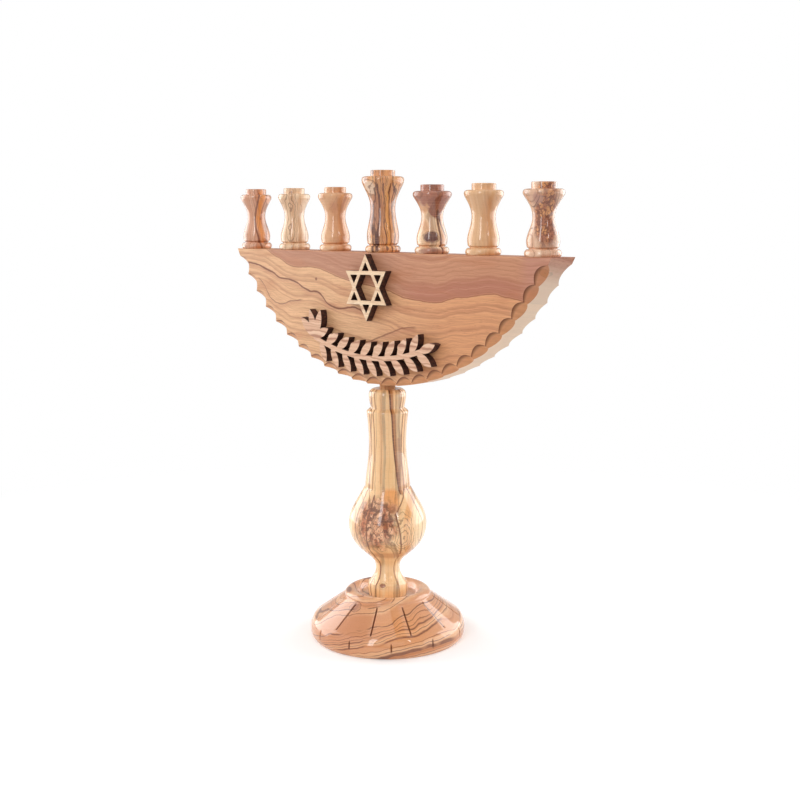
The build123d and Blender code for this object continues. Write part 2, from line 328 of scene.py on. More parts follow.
def lathe(
    name: str, rows: np.ndarray, angles: np.ndarray, dent: np.ndarray | None = None
) -> bpy.types.Object:
    """Carry a half-section round the Z axis.

    A point is (r cos a, r sin a, z), with r and z from its row and the angle a from
    its column. Dents move it inwards along the section's own normal. The first and
    last rows lie on the axis and close the solid as poles.

    Args:
        name: Object name.
        rows: Radius and height of each row, from the lower pole to the upper.
        angles: Angle of each column in radians, one row or one row for each ring.
        dent: Depth in millimetres of each ring point, or none.

    Returns:
        The finished object.
    """
    rings = rows[1:-1]
    radius = np.repeat(rings[:, :1], angles.shape[-1], axis=1)
    height = np.repeat(rings[:, 1:], angles.shape[-1], axis=1)
    if dent is not None:
        along = rows[2:] - rows[:-2]
        along /= np.linalg.norm(along, axis=1, keepdims=True)
        radius = radius - dent * along[:, 1:]
        height = height + dent * along[:, :1]
    turn = np.broadcast_to(angles, radius.shape)
    points = np.stack((radius * np.cos(turn), radius * np.sin(turn), height), axis=-1).reshape(-1, 3)
    count, columns = radius.shape
    quads = grid_faces(count, columns)
    here = np.arange(columns)
    beside = (here + 1) % columns
    last = (count - 1) * columns
    foot = np.stack((np.full(columns, count * columns), beside, here), axis=-1)
    crown = np.stack((np.full(columns, count * columns + 1), last + here, last + beside), axis=-1)
    poles = np.array(((0, 0, rows[0, 1]), (0, 0, rows[-1, 1])))
    faces = quads.tolist() + foot.tolist() + crown.tolist()
    return make_piece(name, np.vstack((points, poles)), faces)


def node_box(node: str) -> tuple[np.ndarray, np.ndarray]:
    """Lowest and highest corner of a CAD node in millimetres."""
    low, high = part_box(node)
    return np.array(low) / MM, np.array(high) / MM


# ----------------------------------------------------------------------- shader nodes


class Nodes:
    """Writes shader nodes in short calls, each of which gives back an output socket."""

    def __init__(self, tree: bpy.types.NodeTree) -> None:
        """Keep the tree that the nodes go into."""
        self.tree = tree

    def add(self, kind: str, inputs: dict, **settings: object) -> bpy.types.Node:
        """Add one node.

        Args:
            kind: Blender's node type.
            inputs: Socket name or number to a value or an output socket.
            **settings: Attributes of the node itself.

        Returns:
            The new node.
        """
        node = self.tree.nodes.new(kind)
        for key, value in settings.items():
            setattr(node, key, value)
        for key, value in inputs.items():
            if isinstance(value, Socket):
                self.tree.links.new(value, node.inputs[key])
            else:
                node.inputs[key].default_value = value
        return node

    def number(self, operation: str, *terms: object) -> Socket:
        """One arithmetic step on numbers."""
        return self.add("ShaderNodeMath", dict(enumerate(terms)), operation=operation).outputs[0]

    def vector(self, operation: str, *terms: object) -> Socket:
        """One arithmetic step on vectors."""
        node = self.add("ShaderNodeVectorMath", dict(enumerate(terms)), operation=operation)
        return node.outputs["Value" if operation in ("LENGTH", "DOT_PRODUCT") else "Vector"]

    def split(self, vector: Socket) -> tuple[Socket, Socket, Socket]:
        """The three numbers of a vector."""
        node = self.add("ShaderNodeSeparateXYZ", {0: vector})
        return node.outputs[0], node.outputs[1], node.outputs[2]

    def millimetres(self) -> Socket:
        """Object coordinates in millimetres."""
        place = self.add("ShaderNodeTexCoord", {}).outputs["Object"]
        return self.vector("MULTIPLY", place, (1 / MM, 1 / MM, 1 / MM))

    def noise(self, place: Socket, stretch: Triple, detail: float = 2.0, rough: float = 0.5) -> Socket:
        """Cloudy noise whose features are about as long as the stretch, in millimetres.

        Args:
            place: Position in millimetres.
            stretch: Feature length along each axis.
            detail: Octaves.
            rough: Weight of the finer octaves.

        Returns:
            The noise colour; its channels are three separate noises about one half.
        """
        scaled = self.vector("MULTIPLY", place, tuple(1 / length for length in stretch))
        inputs = {"Vector": scaled, "Scale": 1.0, "Detail": detail, "Roughness": rough}
        return self.add("ShaderNodeTexNoise", inputs).outputs["Color"]

    def sway(self, place: Socket, stretch: Triple, reach: Triple, detail: float = 2.0) -> Socket:
        """A push to either side that wanders like noise: (noise - 1/2) times the reach.

        Args:
            place: Position in millimetres where the noise is read.
            stretch: Feature length along each axis.
            reach: Whole swing along each axis.
            detail: Octaves.

        Returns:
            The push in millimetres.
        """
        centred = self.vector("SUBTRACT", self.noise(place, stretch, detail), (0.5, 0.5, 0.5))
        return self.vector("MULTIPLY", centred, reach)

    def line_noise(self, station: Socket, length: float, seed: float, detail: float = 2.0) -> Socket:
        """Noise along one number, with features of about the given length."""
        inputs = {"W": self.number("MULTIPLY_ADD", station, 1 / length, seed), "Scale": 1.0, "Detail": detail}
        return self.add("ShaderNodeTexNoise", inputs, noise_dimensions="1D").outputs[0]

    def rise(self, value: Socket, low: float, high: float, top: float = 1.0, foot: float = 0.0) -> Socket:
        """A smooth step from foot at low to top at high."""
        inputs = {"Value": value, "From Min": low, "From Max": high, "To Min": foot, "To Max": top}
        return self.add("ShaderNodeMapRange", inputs, interpolation_type="SMOOTHSTEP").outputs[0]

    def blend(self, share: object, first: object, second: object, mode: str = "MIX") -> Socket:
        """Mix two colours by a share."""
        inputs = {0: share, 6: first, 7: second}
        return self.add("ShaderNodeMix", inputs, data_type="RGBA", blend_type=mode).outputs[2]

    def ramp(self, value: Socket, stops: tuple[tuple[float, tuple], ...]) -> Socket:
        """Colour a number by a row of stops.

        Args:
            value: Number from zero to one.
            stops: Position and colour of each stop, in rising order.

        Returns:
            The colour, blended between neighbouring stops.
        """
        node = self.add("ShaderNodeValToRGB", {0: value})
        elements = node.color_ramp.elements
        for element, (place, colour) in zip(elements, (stops[0], stops[-1])):
            element.position = place
            element.color = colour
        for place, colour in stops[1:-1]:
            elements.new(place).color = colour
        return node.outputs[0]

    def curve(self, value: Socket, span: Pair, level: Pair, points: tuple[Pair, ...]) -> Socket:
        """A drawn height against a station, joined smoothly.

        Args:
            value: Station in millimetres.
            span: Stations at the two ends of the drawing.
            level: Heights at its foot and its top.
            points: Station and height of each drawn point.

        Returns:
            The height in millimetres.
        """
        reach = {"Value": value, "From Min": span[0], "From Max": span[1]}
        share = self.add("ShaderNodeMapRange", reach).outputs[0]
        node = self.add("ShaderNodeFloatCurve", {"Value": share})
        drawn = node.mapping.curves[0].points
        across, rise = span[1] - span[0], level[1] - level[0]
        placed = [((x - span[0]) / across, (z - level[0]) / rise) for x, z in points]
        drawn[0].location, drawn[1].location = placed[0], placed[-1]
        for place in placed[1:-1]:
            drawn.new(*place)
        node.mapping.update()
        return self.number("MULTIPLY_ADD", node.outputs[0], rise, level[0])


def new_material(name: str) -> tuple[bpy.types.Material, Nodes]:
    """Start a node material.

    Args:
        name: Material name.

    Returns:
        The material and the writer of its nodes.
    """
    material = bpy.data.materials.new(name)
    material.use_nodes = True
    return material, Nodes(material.node_tree)


def oval_measure(nodes: Nodes, place: Socket, centre: Triple, radii: Triple) -> Socket:
    """How far out in an ellipsoid a place lies, which is one at the rim.

    The measure is the length of (place - centre) / radii, plus noise of up to 0.45
    either way with features of about three quarters of the mean radius.

    Args:
        nodes: Node writer.
        place: Position in millimetres.
        centre: Centre of the ellipsoid.
        radii: Its half lengths along the axes.

    Returns:
        The measure.
    """
    offset = nodes.vector("SUBTRACT", place, centre)
    size = sum(radii) / 4
    shake = nodes.split(nodes.noise(place, (size, size, size), 3.0))[0]
    plain = nodes.vector("LENGTH", nodes.vector("DIVIDE", offset, radii))
    return nodes.number("ADD", plain, nodes.number("MULTIPLY_ADD", shake, 0.9, -0.45))


class Gloss(Enum):
    """How a wooden surface was finished: roughness, coat weight, coat roughness, bump depth."""

    LACQUER = (0.42, 1.0, 0.04, 0.02)
    SATIN = (0.5, 0.06, 0.3, 0.05)
    RAW = (0.7, 0.0, 0.3, 0.06)


@dataclass(frozen=True)
class Patch:
    """A knot, a dark heart, a clear spot or a painted reflection: an ellipsoid of other colour in the wood.

    The soft share is how far its rim fades to each side, and the rings are dark bands
    for each unit of its measure.
    """

    centre: Triple
    radii: Triple
    colour: tuple
    strength: float = 0.8
    soft: float = 0.35
    rings: float = 0.0

    def paint(self, nodes: Nodes, place: Socket, under: Socket) -> Socket:
        """Lay the patch over a colour.

        The patch fades over measures of 1 - soft to 1 + soft, and its rings are dark
        bands at even steps of the measure.

        Args:
            nodes: Node writer.
            place: Position in millimetres.
            under: Colour before the patch.

        Returns:
            Colour after the patch.
        """
        measure = oval_measure(nodes, place, self.centre, self.radii)
        share = nodes.rise(measure, 1 + self.soft, 1 - self.soft, self.strength)
        colour = nodes.blend(share, under, self.colour)
        if self.rings:
            wave = nodes.number("SINE", nodes.number("MULTIPLY", measure, 2 * math.pi * self.rings))
            line = nodes.rise(wave, 0.55, 1.0, 0.6)
            near = nodes.rise(measure, 1.9, 1.1)
            colour = nodes.blend(nodes.number("MULTIPLY", line, near), colour, srgb(96, 48, 32))
        return colour


@dataclass(frozen=True)
class Streak:
    """A vein that runs up a turned piece, from one turn and height to another.

    Its widths are half the vein's width at each end, and the shake is how far the vein
    sways from side to side.
    """

    start: Pair
    end: Pair
    widths: Pair
    colour: tuple
    strength: float = 0.8
    soft: float = 0.4
    shake: float = 1.6

    def paint(self, nodes: Nodes, place: Socket, under: Socket) -> Socket:
        """Lay the streak over a colour.

        The place is first shaken by noise that is long along the grain. Its share t of
        the streak's height, kept in 0 to 1, gives the streak's turn and half width
        there, and the measure is the arc from that turn, radius times angle, plus the
        height past either end, over the half width.

        Args:
            nodes: Node writer.
            place: Position in millimetres.
            under: Colour before the streak.

        Returns:
            Colour after the streak.
        """
        bent = nodes.vector("ADD", place, nodes.sway(place, (5, 5, 13), (self.shake,) * 3))
        ahead = nodes.vector("DOT_PRODUCT", bent, around(0, 1))
        aside = nodes.vector("DOT_PRODUCT", bent, around(90, 1))
        radius = nodes.vector("LENGTH", nodes.vector("MULTIPLY", bent, (1, 1, 0)))
        run = self.end[1] - self.start[1]
        share = nodes.number("DIVIDE", nodes.number("SUBTRACT", nodes.split(bent)[2], self.start[1]), run)
        kept = nodes.add("ShaderNodeClamp", {"Value": share}).outputs[0]
        first, last = math.radians(self.start[0]), math.radians(self.end[0])
        turn = nodes.number("SUBTRACT", nodes.number("ARCTAN2", aside, ahead), first)
        apart = nodes.number("ABSOLUTE", nodes.number("MULTIPLY_ADD", kept, first - last, turn))
        past = nodes.number("ABSOLUTE", nodes.number("MULTIPLY", nodes.number("SUBTRACT", share, kept), run))
        width = nodes.number("MULTIPLY_ADD", kept, self.widths[1] - self.widths[0], self.widths[0])
        reach = nodes.number("MULTIPLY_ADD", apart, radius, past)
        measure = nodes.number("DIVIDE", reach, width)
        share = nodes.rise(measure, 1 + self.soft, 1 - self.soft, self.strength)
        return nodes.blend(share, under, self.colour)


@dataclass(frozen=True)
class Burl:
    """A crowd of small eyes: cells with a dark rim, a pale ring and a dark pupil."""

    centre: Triple
    radii: Triple
    cell: float
    pale: tuple
    dark: tuple
    rim: tuple
    strength: float = 1.0

    def paint(self, nodes: Nodes, place: Socket, under: Socket) -> Socket:
        """Lay the burl over a colour.

        The cells are nearest-point distances d, in cell lengths, of a place shaken by
        noise: dark under d = 0.1, pale near 0.3 and dark again where cells meet. The
        whole fades out at the rim of an ellipsoid.

        Args:
            nodes: Node writer.
            place: Position in millimetres.
            under: Colour before the burl.

        Returns:
            Colour after the burl.
        """
        measure = oval_measure(nodes, place, self.centre, self.radii)
        share = nodes.rise(measure, 1.3, 0.75, self.strength)
        bent = nodes.vector("ADD", place, nodes.sway(place, (2.5, 2.5, 4.0), (2.2 * self.cell,) * 3, 3.0))
        scaled = nodes.vector("MULTIPLY", bent, (1 / self.cell, 1 / self.cell, 0.75 / self.cell))
        cells = nodes.add("ShaderNodeTexVoronoi", {"Vector": scaled, "Scale": 1.0})
        apart = cells.outputs["Distance"]
        tone = nodes.split(nodes.noise(place, (4, 4, 7), 3.0))[2]
        colour = nodes.blend(nodes.rise(tone, 0.4, 0.6), self.pale, self.dark)
        colour = nodes.blend(nodes.rise(apart, 0.42, 0.68, 0.9), colour, self.rim)
        colour = nodes.blend(nodes.rise(apart, 0.2, 0.08, 0.8), colour, self.rim)
        return nodes.blend(share, under, colour)


@dataclass(frozen=True)
class Swirl:
    """A place where the grain curls, as it does round a burl."""

    centre: Triple
    radii: Triple
    shake: float
    curl: float
    soft: float = 0.35

    def bend(self, nodes: Nodes, place: Socket, layer: Socket) -> Socket:
        """Shake the layer number inside an ellipsoid.

        The number gains noise with features as long as the curl, times a weight that
        falls from the whole shake inside the ellipsoid to nothing outside it.

        Args:
            nodes: Node writer.
            place: Position in millimetres.
            layer: Layer number before the swirl.

        Returns:
            Layer number after the swirl.
        """
        measure = oval_measure(nodes, place, self.centre, self.radii)
        share = nodes.rise(measure, 1 + self.soft, 1 - self.soft, self.shake)
        noise = nodes.split(nodes.noise(place, (self.curl, self.curl, 1.3 * self.curl)))[2]
        return nodes.number("ADD", layer, nodes.number("MULTIPLY", noise, share))


@dataclass(frozen=True)
class OliveWood:
    """Olive wood as solid layers grown round the heart of a log.

    The heart is a point of the log's heart line and the axis is its direction, both
    counted from the origin. The gaps, bands, ripple and wander are in millimetres.

    The layer number is the distance from the log's heart line, shaken by slow noise
    that is long along the grain. Broad colour bands, crisp growth lines of uneven
    weight and bold veins are all functions of that one number, so they run round a
    turned piece as real figure does. A swirl shakes the number itself.
    """

    name: str
    slot: str
    pale: tuple
    tan: tuple
    dark: tuple
    vein: tuple
    line: tuple
    heart: Triple
    axis: Triple = (0.0, 0.0, 1.0)
    band: float = 7.0
    wander: float = 8.0
    ripple: float = 2.0
    ring_gap: float = 2.4
    ring_share: float = 0.6
    vein_gap: float = 9.0
    vein_share: float = 0.8
    seed: float = 0.0
    gloss: Gloss = Gloss.LACQUER
    darkened_cuts: bool = False
    origin: Triple = (0.0, 0.0, 0.0)
    swirls: tuple[Swirl, ...] = ()
    marks: tuple[Patch | Streak | Burl, ...] = ()

    def layers(self, nodes: Nodes, place: Socket) -> tuple[Socket, Socket]:
        """Number the layers round the log's heart line.

        The place is turned so that the heart line runs along Z, and pushed by slow
        noise. The layer number is then its distance from Z plus a fine ripple.

        Args:
            nodes: Node writer.
            place: Position in millimetres.

        Returns:
            The layer number in millimetres and the position in the log's own frame.
        """
        turn = Vector(self.axis).normalized().rotation_difference(Vector((0, 0, 1))).to_euler()
        shifted = nodes.vector("SUBTRACT", place, self.heart)
        turned = nodes.add(
            "ShaderNodeVectorRotate",
            {"Vector": shifted, "Rotation": tuple(turn)},
            rotation_type="EULER_XYZ",
        ).outputs[0]
        seeded = nodes.vector("ADD", turned, (17.0 * self.seed, 5.0 * self.seed, 0.0))
        bent = nodes.vector("ADD", turned, nodes.sway(seeded, (26, 26, 70), (self.wander,) * 3))
        ring = nodes.vector("LENGTH", nodes.vector("MULTIPLY", bent, (1.0, 1.0, 0.0)))
        fine = nodes.split(nodes.noise(seeded, (6, 6, 15), 3.0))[1]
        layer = nodes.number("ADD", ring, nodes.number("MULTIPLY_ADD", fine, self.ripple, -self.ripple / 2))
        for swirl in self.swirls:
            layer = swirl.bend(nodes, place, layer)
        return layer, seeded

    def growth(self, nodes: Nodes, layer: Socket) -> Socket:
        """Weigh the growth lines.

        Layers are counted by layer / gap plus slow noise, so their widths differ. Near
        the end of each layer the wood darkens and then stops sharply, and a white noise
        of the whole number gives each line its own weight.

        Args:
            nodes: Node writer.
            layer: Layer number in millimetres.

        Returns:
            The share of the line colour.
        """
        slow = nodes.line_noise(layer, 6.0 * self.ring_gap, self.seed + 40, 1.0)
        count = nodes.number("MULTIPLY_ADD", slow, 1.5, nodes.number("DIVIDE", layer, self.ring_gap))
        number = nodes.number("FLOOR", count)
        weight = nodes.add("ShaderNodeTexWhiteNoise", {"W": number}, noise_dimensions="1D").outputs[0]
        edge = nodes.number("POWER", nodes.rise(nodes.number("FRACT", count), 0.55, 1.0), 2.0)
        return nodes.number("MULTIPLY", edge, nodes.rise(weight, 0.1, 0.9, self.ring_share))

    def colour(self, nodes: Nodes, place: Socket) -> tuple[Socket, Socket]:
        """Work out the wood's colour and its fibre height.

        The broad bands are noise along the layer number. Over them lie, in this order,
        the marks, the growth lines, veins where a slower noise along the layer number
        comes within 0.035 of one half, fibres and pores long along the grain, and the
        turner's marks, which are noise along the height.

        Args:
            nodes: Node writer.
            place: Position in millimetres.

        Returns:
            The colour and the fibre noise.
        """
        layer, turned = self.layers(nodes, place)
        bands = nodes.line_noise(layer, self.band, self.seed, 2.0)
        stops = ((0.36, self.pale), (0.5, self.tan), (0.6, self.tan), (0.72, self.dark))
        colour = nodes.ramp(bands, stops)
        for mark in self.marks:
            colour = mark.paint(nodes, place, colour)
        colour = nodes.blend(self.growth(nodes, layer), colour, self.line)
        level = nodes.line_noise(layer, self.vein_gap, self.seed + 17, 1.0)
        apart = nodes.number("ABSOLUTE", nodes.number("SUBTRACT", level, 0.5))
        fade = nodes.rise(nodes.split(nodes.noise(turned, (14, 14, 50), 1.0))[0], 0.38, 0.52)
        vein = nodes.number("MULTIPLY", nodes.rise(apart, 0.035, 0.008, self.vein_share), fade)
        colour = nodes.blend(vein, colour, self.vein)
        fibre = nodes.split(nodes.noise(turned, (0.7, 0.7, 14), 3.0, 0.6))[0]
        colour = nodes.blend(nodes.rise(fibre, 0.35, 0.7, 0.12), colour, self.dark)
        pores = nodes.split(nodes.noise(turned, (0.45, 0.45, 3.2), 1.0))[1]
        colour = nodes.blend(nodes.rise(pores, 0.66, 0.74, 0.25), colour, self.vein)
        tooling = nodes.line_noise(nodes.split(place)[2], 0.8, self.seed, 1.0)
        colour = nodes.blend(nodes.rise(tooling, 0.5, 0.68, 0.16), colour, self.dark)
        if self.darkened_cuts:
            # The grooves and nicks are made darker by the share of each cut.
            cut = nodes.add("ShaderNodeAttribute", {}, attribute_name="cut").outputs["Fac"]
            colour = nodes.blend(nodes.rise(cut, 0.05, 0.75, 0.85), colour, self.vein)
        return colour, fibre

    def build(self) -> bpy.types.Material:
        """Make the material, whose own places count from its origin.

        Returns:
            A material that reads Object coordinates and the share of the cuts.
        """
        material, nodes = new_material(self.name)
        place = nodes.vector("SUBTRACT", nodes.millimetres(), self.origin)
        colour, fibre = self.colour(nodes, place)
        dress_shader(material, colour, fibre, self.gloss)
        return material


def dress_shader(material: bpy.types.Material, colour: Socket, fibre: Socket, gloss: Gloss) -> None:
    """Feed a wood colour and a fibre height into a material's main shader.

    Args:
        material: Material whose node tree holds the sockets.
        colour: Base colour.
        fibre: Height noise of the fibres.
        gloss: Finish of the surface.
    """
    rough, coat, coat_rough, depth = gloss.value
    nodes = Nodes(material.node_tree)
    shader = material.node_tree.nodes["Principled BSDF"]
    links = material.node_tree.links
    links.new(colour, shader.inputs["Base Color"])
    links.new(nodes.rise(fibre, 0.3, 0.75, rough + 0.08, rough - 0.04), shader.inputs["Roughness"])
    bump = nodes.add("ShaderNodeBump", {"Strength": 0.6, "Distance": depth * MM, "Height": fibre})
    links.new(bump.outputs[0], shader.inputs["Normal"])
    shader.inputs["Coat Weight"].default_value = coat
    shader.inputs["Coat Roughness"].default_value = coat_rough
    shader.inputs["Coat IOR"].default_value = 1.5
    shader.inputs["Specular IOR Level"].default_value = 0.3


@dataclass(frozen=True)
class GrainLine:
    """A dark vein drawn on the board as height against length, in millimetres."""

    points: tuple[Pair, ...]
    width: float
    strength: float
    span: Pair


@dataclass(frozen=True)
class BoardWood:
    """Satin olive wood of the board: its own flowing heartwood edge and drawn veins.

    Lines are drawn as height against length over the stations and heights given. The
    flow number is the height above the heartwood edge.
    """

    name: str = "olive_board"
    slot: str = "board_olive_wood"
    stations: Pair = (-140, 140)
    heights: Pair = (150, 260)
    front: float = 10.75
    lean: float = 0.12
    heart_edge: tuple[Pair, ...] = (
        (-140, 252), (-112, 251), (-99, 246), (-91, 243), (-83, 240), (-75, 239), (-59, 239), (-45, 236),
        (-30, 232), (-12, 230), (11, 227), (26, 223), (39, 222), (55, 222), (66, 225), (78, 226),
        (93, 228), (106, 227), (121, 225), (140, 226),
    )
    main_vein: tuple[Pair, ...] = (
        (-140, 239), (-118, 239), (-108, 236), (-101, 234), (-95, 231), (-88, 230), (-77, 228), (-71, 225),
        (-64, 223), (-57, 223), (-53, 222), (-48, 219), (-42, 215), (-35, 213), (-18, 214), (-9, 208),
    )
    under_vein: tuple[Pair, ...] = (
        (-20, 191), (-11, 192.5), (-4, 194), (4, 197), (16, 201), (25, 204), (34, 205), (42, 205),
    )
    low_vein: tuple[Pair, ...] = (
        (-120, 231), (-116, 229), (-111, 225), (-107, 220), (-102, 216), (-93, 213), (-84, 215), (-70, 217),
    )

    def build(self) -> bpy.types.Material:
        """Make the material.

        The place is pushed by slow noise, and the height gains the lean times the depth
        behind the front face, so that the figure slants through the slab.

        Returns:
            A material that reads Object coordinates, normals and the carved share.
        """
        material, nodes = new_material(self.name)
        place = nodes.millimetres()
        bent = nodes.vector("ADD", place, nodes.sway(place, (16, 22, 9), (6.0, 4.0, 3.0), 3.0))
        along, through, up = nodes.split(bent)
        up = nodes.number("MULTIPLY_ADD", nodes.number("ADD", through, self.front), self.lean, up)
        flow = nodes.number("SUBTRACT", up, nodes.curve(along, self.stations, self.heights, self.heart_edge))
        colour = self.ground(nodes, along, flow)
        colour = self.streaks(nodes, bent, flow, colour)
        for line in self.veins():
            colour = self.draw_vein(nodes, line, along, up, colour)
        for spot in self.spots():
            colour = spot.paint(nodes, place, colour)
        fibre = nodes.split(nodes.noise(bent, (18, 2.5, 0.55), 3.0, 0.6))[0]
        colour = nodes.blend(nodes.rise(fibre, 0.38, 0.72, 0.34), colour, srgb(156, 96, 64))
        pores = nodes.split(nodes.noise(bent, (4.2, 0.9, 0.4), 1.0))[1]
        colour = nodes.blend(nodes.rise(pores, 0.66, 0.75, 0.35), colour, srgb(140, 84, 56))
        colour = self.carving_light_and_shade(nodes, along, up, colour)
        dress_shader(material, colour, fibre, Gloss.SATIN)
        return material

    def ground(self, nodes: Nodes, along: Socket, flow: Socket) -> Socket:
        """Work out the colour under the figure.

        Sapwood lies under the heartwood edge and heartwood over it, each turning from
        its left colour to its right one. Over them go a mauve band along the right of
        the edge, a mauve tip and a cream corner under the tip.

        Args:
            nodes: Node writer.
            along: Station in millimetres.
            flow: Height above the heartwood edge.

        Returns:
            The ground colour.
        """
        right = nodes.rise(along, -40, 70)
        below = nodes.blend(right, srgb(231, 183, 138), srgb(220, 158, 112))
        above = nodes.blend(right, srgb(192, 138, 110), srgb(202, 144, 110))
        colour = nodes.blend(nodes.rise(flow, -0.8, 0.8), below, above)
        mauve = nodes.number("MULTIPLY", nodes.rise(flow, 14.0, 5.5), nodes.rise(flow, -0.3, 0.6))
        mauve = nodes.number("MULTIPLY", mauve, nodes.rise(along, 8, 42))
        colour = nodes.blend(mauve, colour, srgb(182, 118, 94))
        tip = nodes.number("MULTIPLY", nodes.rise(along, 112, 124), nodes.rise(flow, -2, 4))
        colour = nodes.blend(tip, colour, srgb(196, 138, 116))
        cream = nodes.number("MULTIPLY", nodes.rise(along, 106, 122), nodes.rise(flow, -4, -10, 0.7))
        return nodes.blend(cream, colour, srgb(232, 190, 158))

    def streaks(self, nodes: Nodes, bent: Socket, flow: Socket, under: Socket) -> Socket:
        """Lay dark and light streaks, broad shades and the dark heartwood edge.

        The streaks are noise along the flow number, the shades are cloudy noise that is
        long along the board, and the edge is where the flow is within half of -0.3.

        Args:
            nodes: Node writer.
            bent: Pushed position in millimetres.
            flow: Height above the heartwood edge.
            under: Colour before them.

        Returns:
            Colour after them.
        """
        streak = nodes.line_noise(flow, 2.6, 4.0, 3.0)
        colour = nodes.blend(nodes.rise(streak, 0.42, 0.66, 0.5), under, srgb(170, 108, 78))
        colour = nodes.blend(nodes.rise(streak, 0.42, 0.25, 0.14), colour, srgb(238, 196, 152))
        broad = nodes.split(nodes.noise(bent, (50, 40, 8), 3.0))[0]
        colour = nodes.blend(nodes.rise(broad, 0.48, 0.7, 0.45), colour, srgb(190, 120, 80))
        rim = nodes.number("ABSOLUTE", nodes.number("ADD", flow, 0.3))
        return nodes.blend(nodes.rise(rim, 0.55, 0.1, 0.75), colour, srgb(150, 88, 60))

    def draw_vein(self, nodes: Nodes, line: GrainLine, along: Socket, up: Socket, under: Socket) -> Socket:
        """Draw one dark vein with a shade under it.

        The shade rises over 5.5 mm up to the line and stops there. The core is darkest
        within a quarter of the line's width. Both fade in and out over 6 mm of length.

        Args:
            nodes: Node writer.
            line: The vein.
            along: Station in millimetres.
            up: Height in millimetres.
            under: Colour before the vein.

        Returns:
            Colour after the vein.
        """
        apart = nodes.number("SUBTRACT", up, nodes.curve(along, self.stations, self.heights, line.points))
        start, end = line.span
        here = nodes.number("MULTIPLY", nodes.rise(along, end, end - 6), nodes.rise(along, start, start + 6))
        shade = nodes.number("MULTIPLY", nodes.rise(apart, -5.5, -0.5, 0.3), nodes.rise(apart, 0.6, 0.0))
        colour = nodes.blend(nodes.number("MULTIPLY", shade, here), under, srgb(178, 112, 84))
        core = nodes.rise(nodes.number("ABSOLUTE", apart), line.width, 0.25 * line.width, line.strength)
        return nodes.blend(nodes.number("MULTIPLY", core, here), colour, srgb(112, 56, 34))

    def carving_light_and_shade(self, nodes: Nodes, along: Socket, up: Socket, under: Socket) -> Socket:
        """Dress the scoops and the end face with painted light and shade.

        The scoops are where the normal's Y part is between 0.2 and 0.97. They are tinted orange,
        partly the wood's own colour and partly painted warm shade, with painted dark shade where
        the carved share nears one, at the face. The right of the arc, where that part is near
        zero, gets a pale painted highlight.

        Args:
            nodes: Node writer.
            along: Station in millimetres.
            up: Height in millimetres.
            under: Colour before the scoops and the end face are dressed.

        Returns:
            Colour with the painted light and shade of the scoops and the end face.
        """
        normal = nodes.add("ShaderNodeTexCoord", {}).outputs["Normal"]
        facing = nodes.number("ABSOLUTE", nodes.split(normal)[1])
        scooped = nodes.number("MULTIPLY", nodes.rise(facing, 0.2, 0.3), nodes.rise(facing, 0.97, 0.9, 0.55))
        # Partly painted shade: the scoops are tinted orange, partly the wood's own colour and partly the warm
        # shade inside them.
        colour = nodes.blend(scooped, under, srgb(222, 156, 108))
        carved = nodes.add("ShaderNodeAttribute", {}, attribute_name="carved").outputs["Fac"]
        # Painted shade: a dark edge where each scoop meets the face.
        outline = nodes.number("MULTIPLY", scooped, nodes.rise(carved, 0.55, 1.0, 1.6))
        colour = nodes.blend(outline, colour, srgb(104, 56, 38))
        # Painted highlight: the end face on the right of the arc is made pale where light falls on it.
        painted_end_light = nodes.number("MULTIPLY", nodes.rise(facing, 0.25, 0.1), nodes.rise(along, 10, 60, 0.72))
        painted_end_light = nodes.number("MULTIPLY", painted_end_light, nodes.rise(up, 252, 232))
        return nodes.blend(painted_end_light, colour, srgb(252, 230, 204))

    def veins(self) -> tuple[GrainLine, ...]:
        """List the three drawn veins.

        Returns:
            The veins, from the long one at the left.
        """
        return (
            GrainLine(self.main_vein, 0.9, 0.95, (-139, -8)),
            GrainLine(self.low_vein, 0.6, 0.7, (-119, -68)),
            GrainLine(self.under_vein, 0.7, 0.6, (-19, 38)),
        )

    def spots(self) -> tuple[Patch, ...]:
        """List the small knots of the board.

        Returns:
            The knots, from left to right.
        """
        return (
            Patch((-56, -10.7, 231), (1.1, 20, 1.0), srgb(110, 56, 34), 0.85, 0.3),
            Patch((131, -10.7, 241), (2.2, 12, 2.2), srgb(170, 96, 54), 0.8, 0.3, 1.2),
            Patch((124, -10.7, 229), (4.5, 20, 2.6), srgb(190, 112, 86), 0.7, 0.4),
        )


@dataclass(frozen=True)
class SawnWood:
    """Pale sanded faces with scorched sides, as a saw or a burning beam leaves them."""

    name: str
    pale: tuple
    tan: tuple
    shade: tuple
    slot: str = "ornament_olive_wood"

    def build(self) -> bpy.types.Material:
        """Make the material.

        The share of face wood rises with the size of the normal's Y part, so the flat
        faces are pale and every sawn side is dark.

        Returns:
            A material that reads Object coordinates and normals only.
        """
        material, nodes = new_material(self.name)
        place = nodes.millimetres()
        bent = nodes.vector("ADD", place, nodes.sway(place, (14, 14, 8), (4.0, 0.0, 5.0)))
        up = nodes.split(bent)[2]
        bands = nodes.line_noise(up, 2.4, 9.0, 3.0)
        face = nodes.ramp(bands, ((0.3, self.pale), (0.5, self.tan), (0.7, self.shade)))
        fibre = nodes.split(nodes.noise(bent, (9, 2, 0.5), 3.0, 0.6))[0]
        face = nodes.blend(nodes.rise(fibre, 0.45, 0.75, 0.3), face, srgb(180, 134, 108))
        scorch = nodes.split(nodes.noise(place, (1.2, 3.0, 1.2), 2.0))[0]
        side = nodes.ramp(scorch, ((0.35, srgb(44, 27, 24)), (0.62, srgb(84, 50, 38))))
        normal = nodes.add("ShaderNodeTexCoord", {}).outputs["Normal"]
        facing = nodes.number("ABSOLUTE", nodes.split(normal)[1])
        colour = nodes.blend(nodes.rise(facing, 0.55, 0.85), side, face)
        dress_shader(material, colour, fibre, Gloss.RAW)
        return material


Wood = OliveWood | BoardWood | SawnWood

# ----------------------------------------------------------------------------- pieces


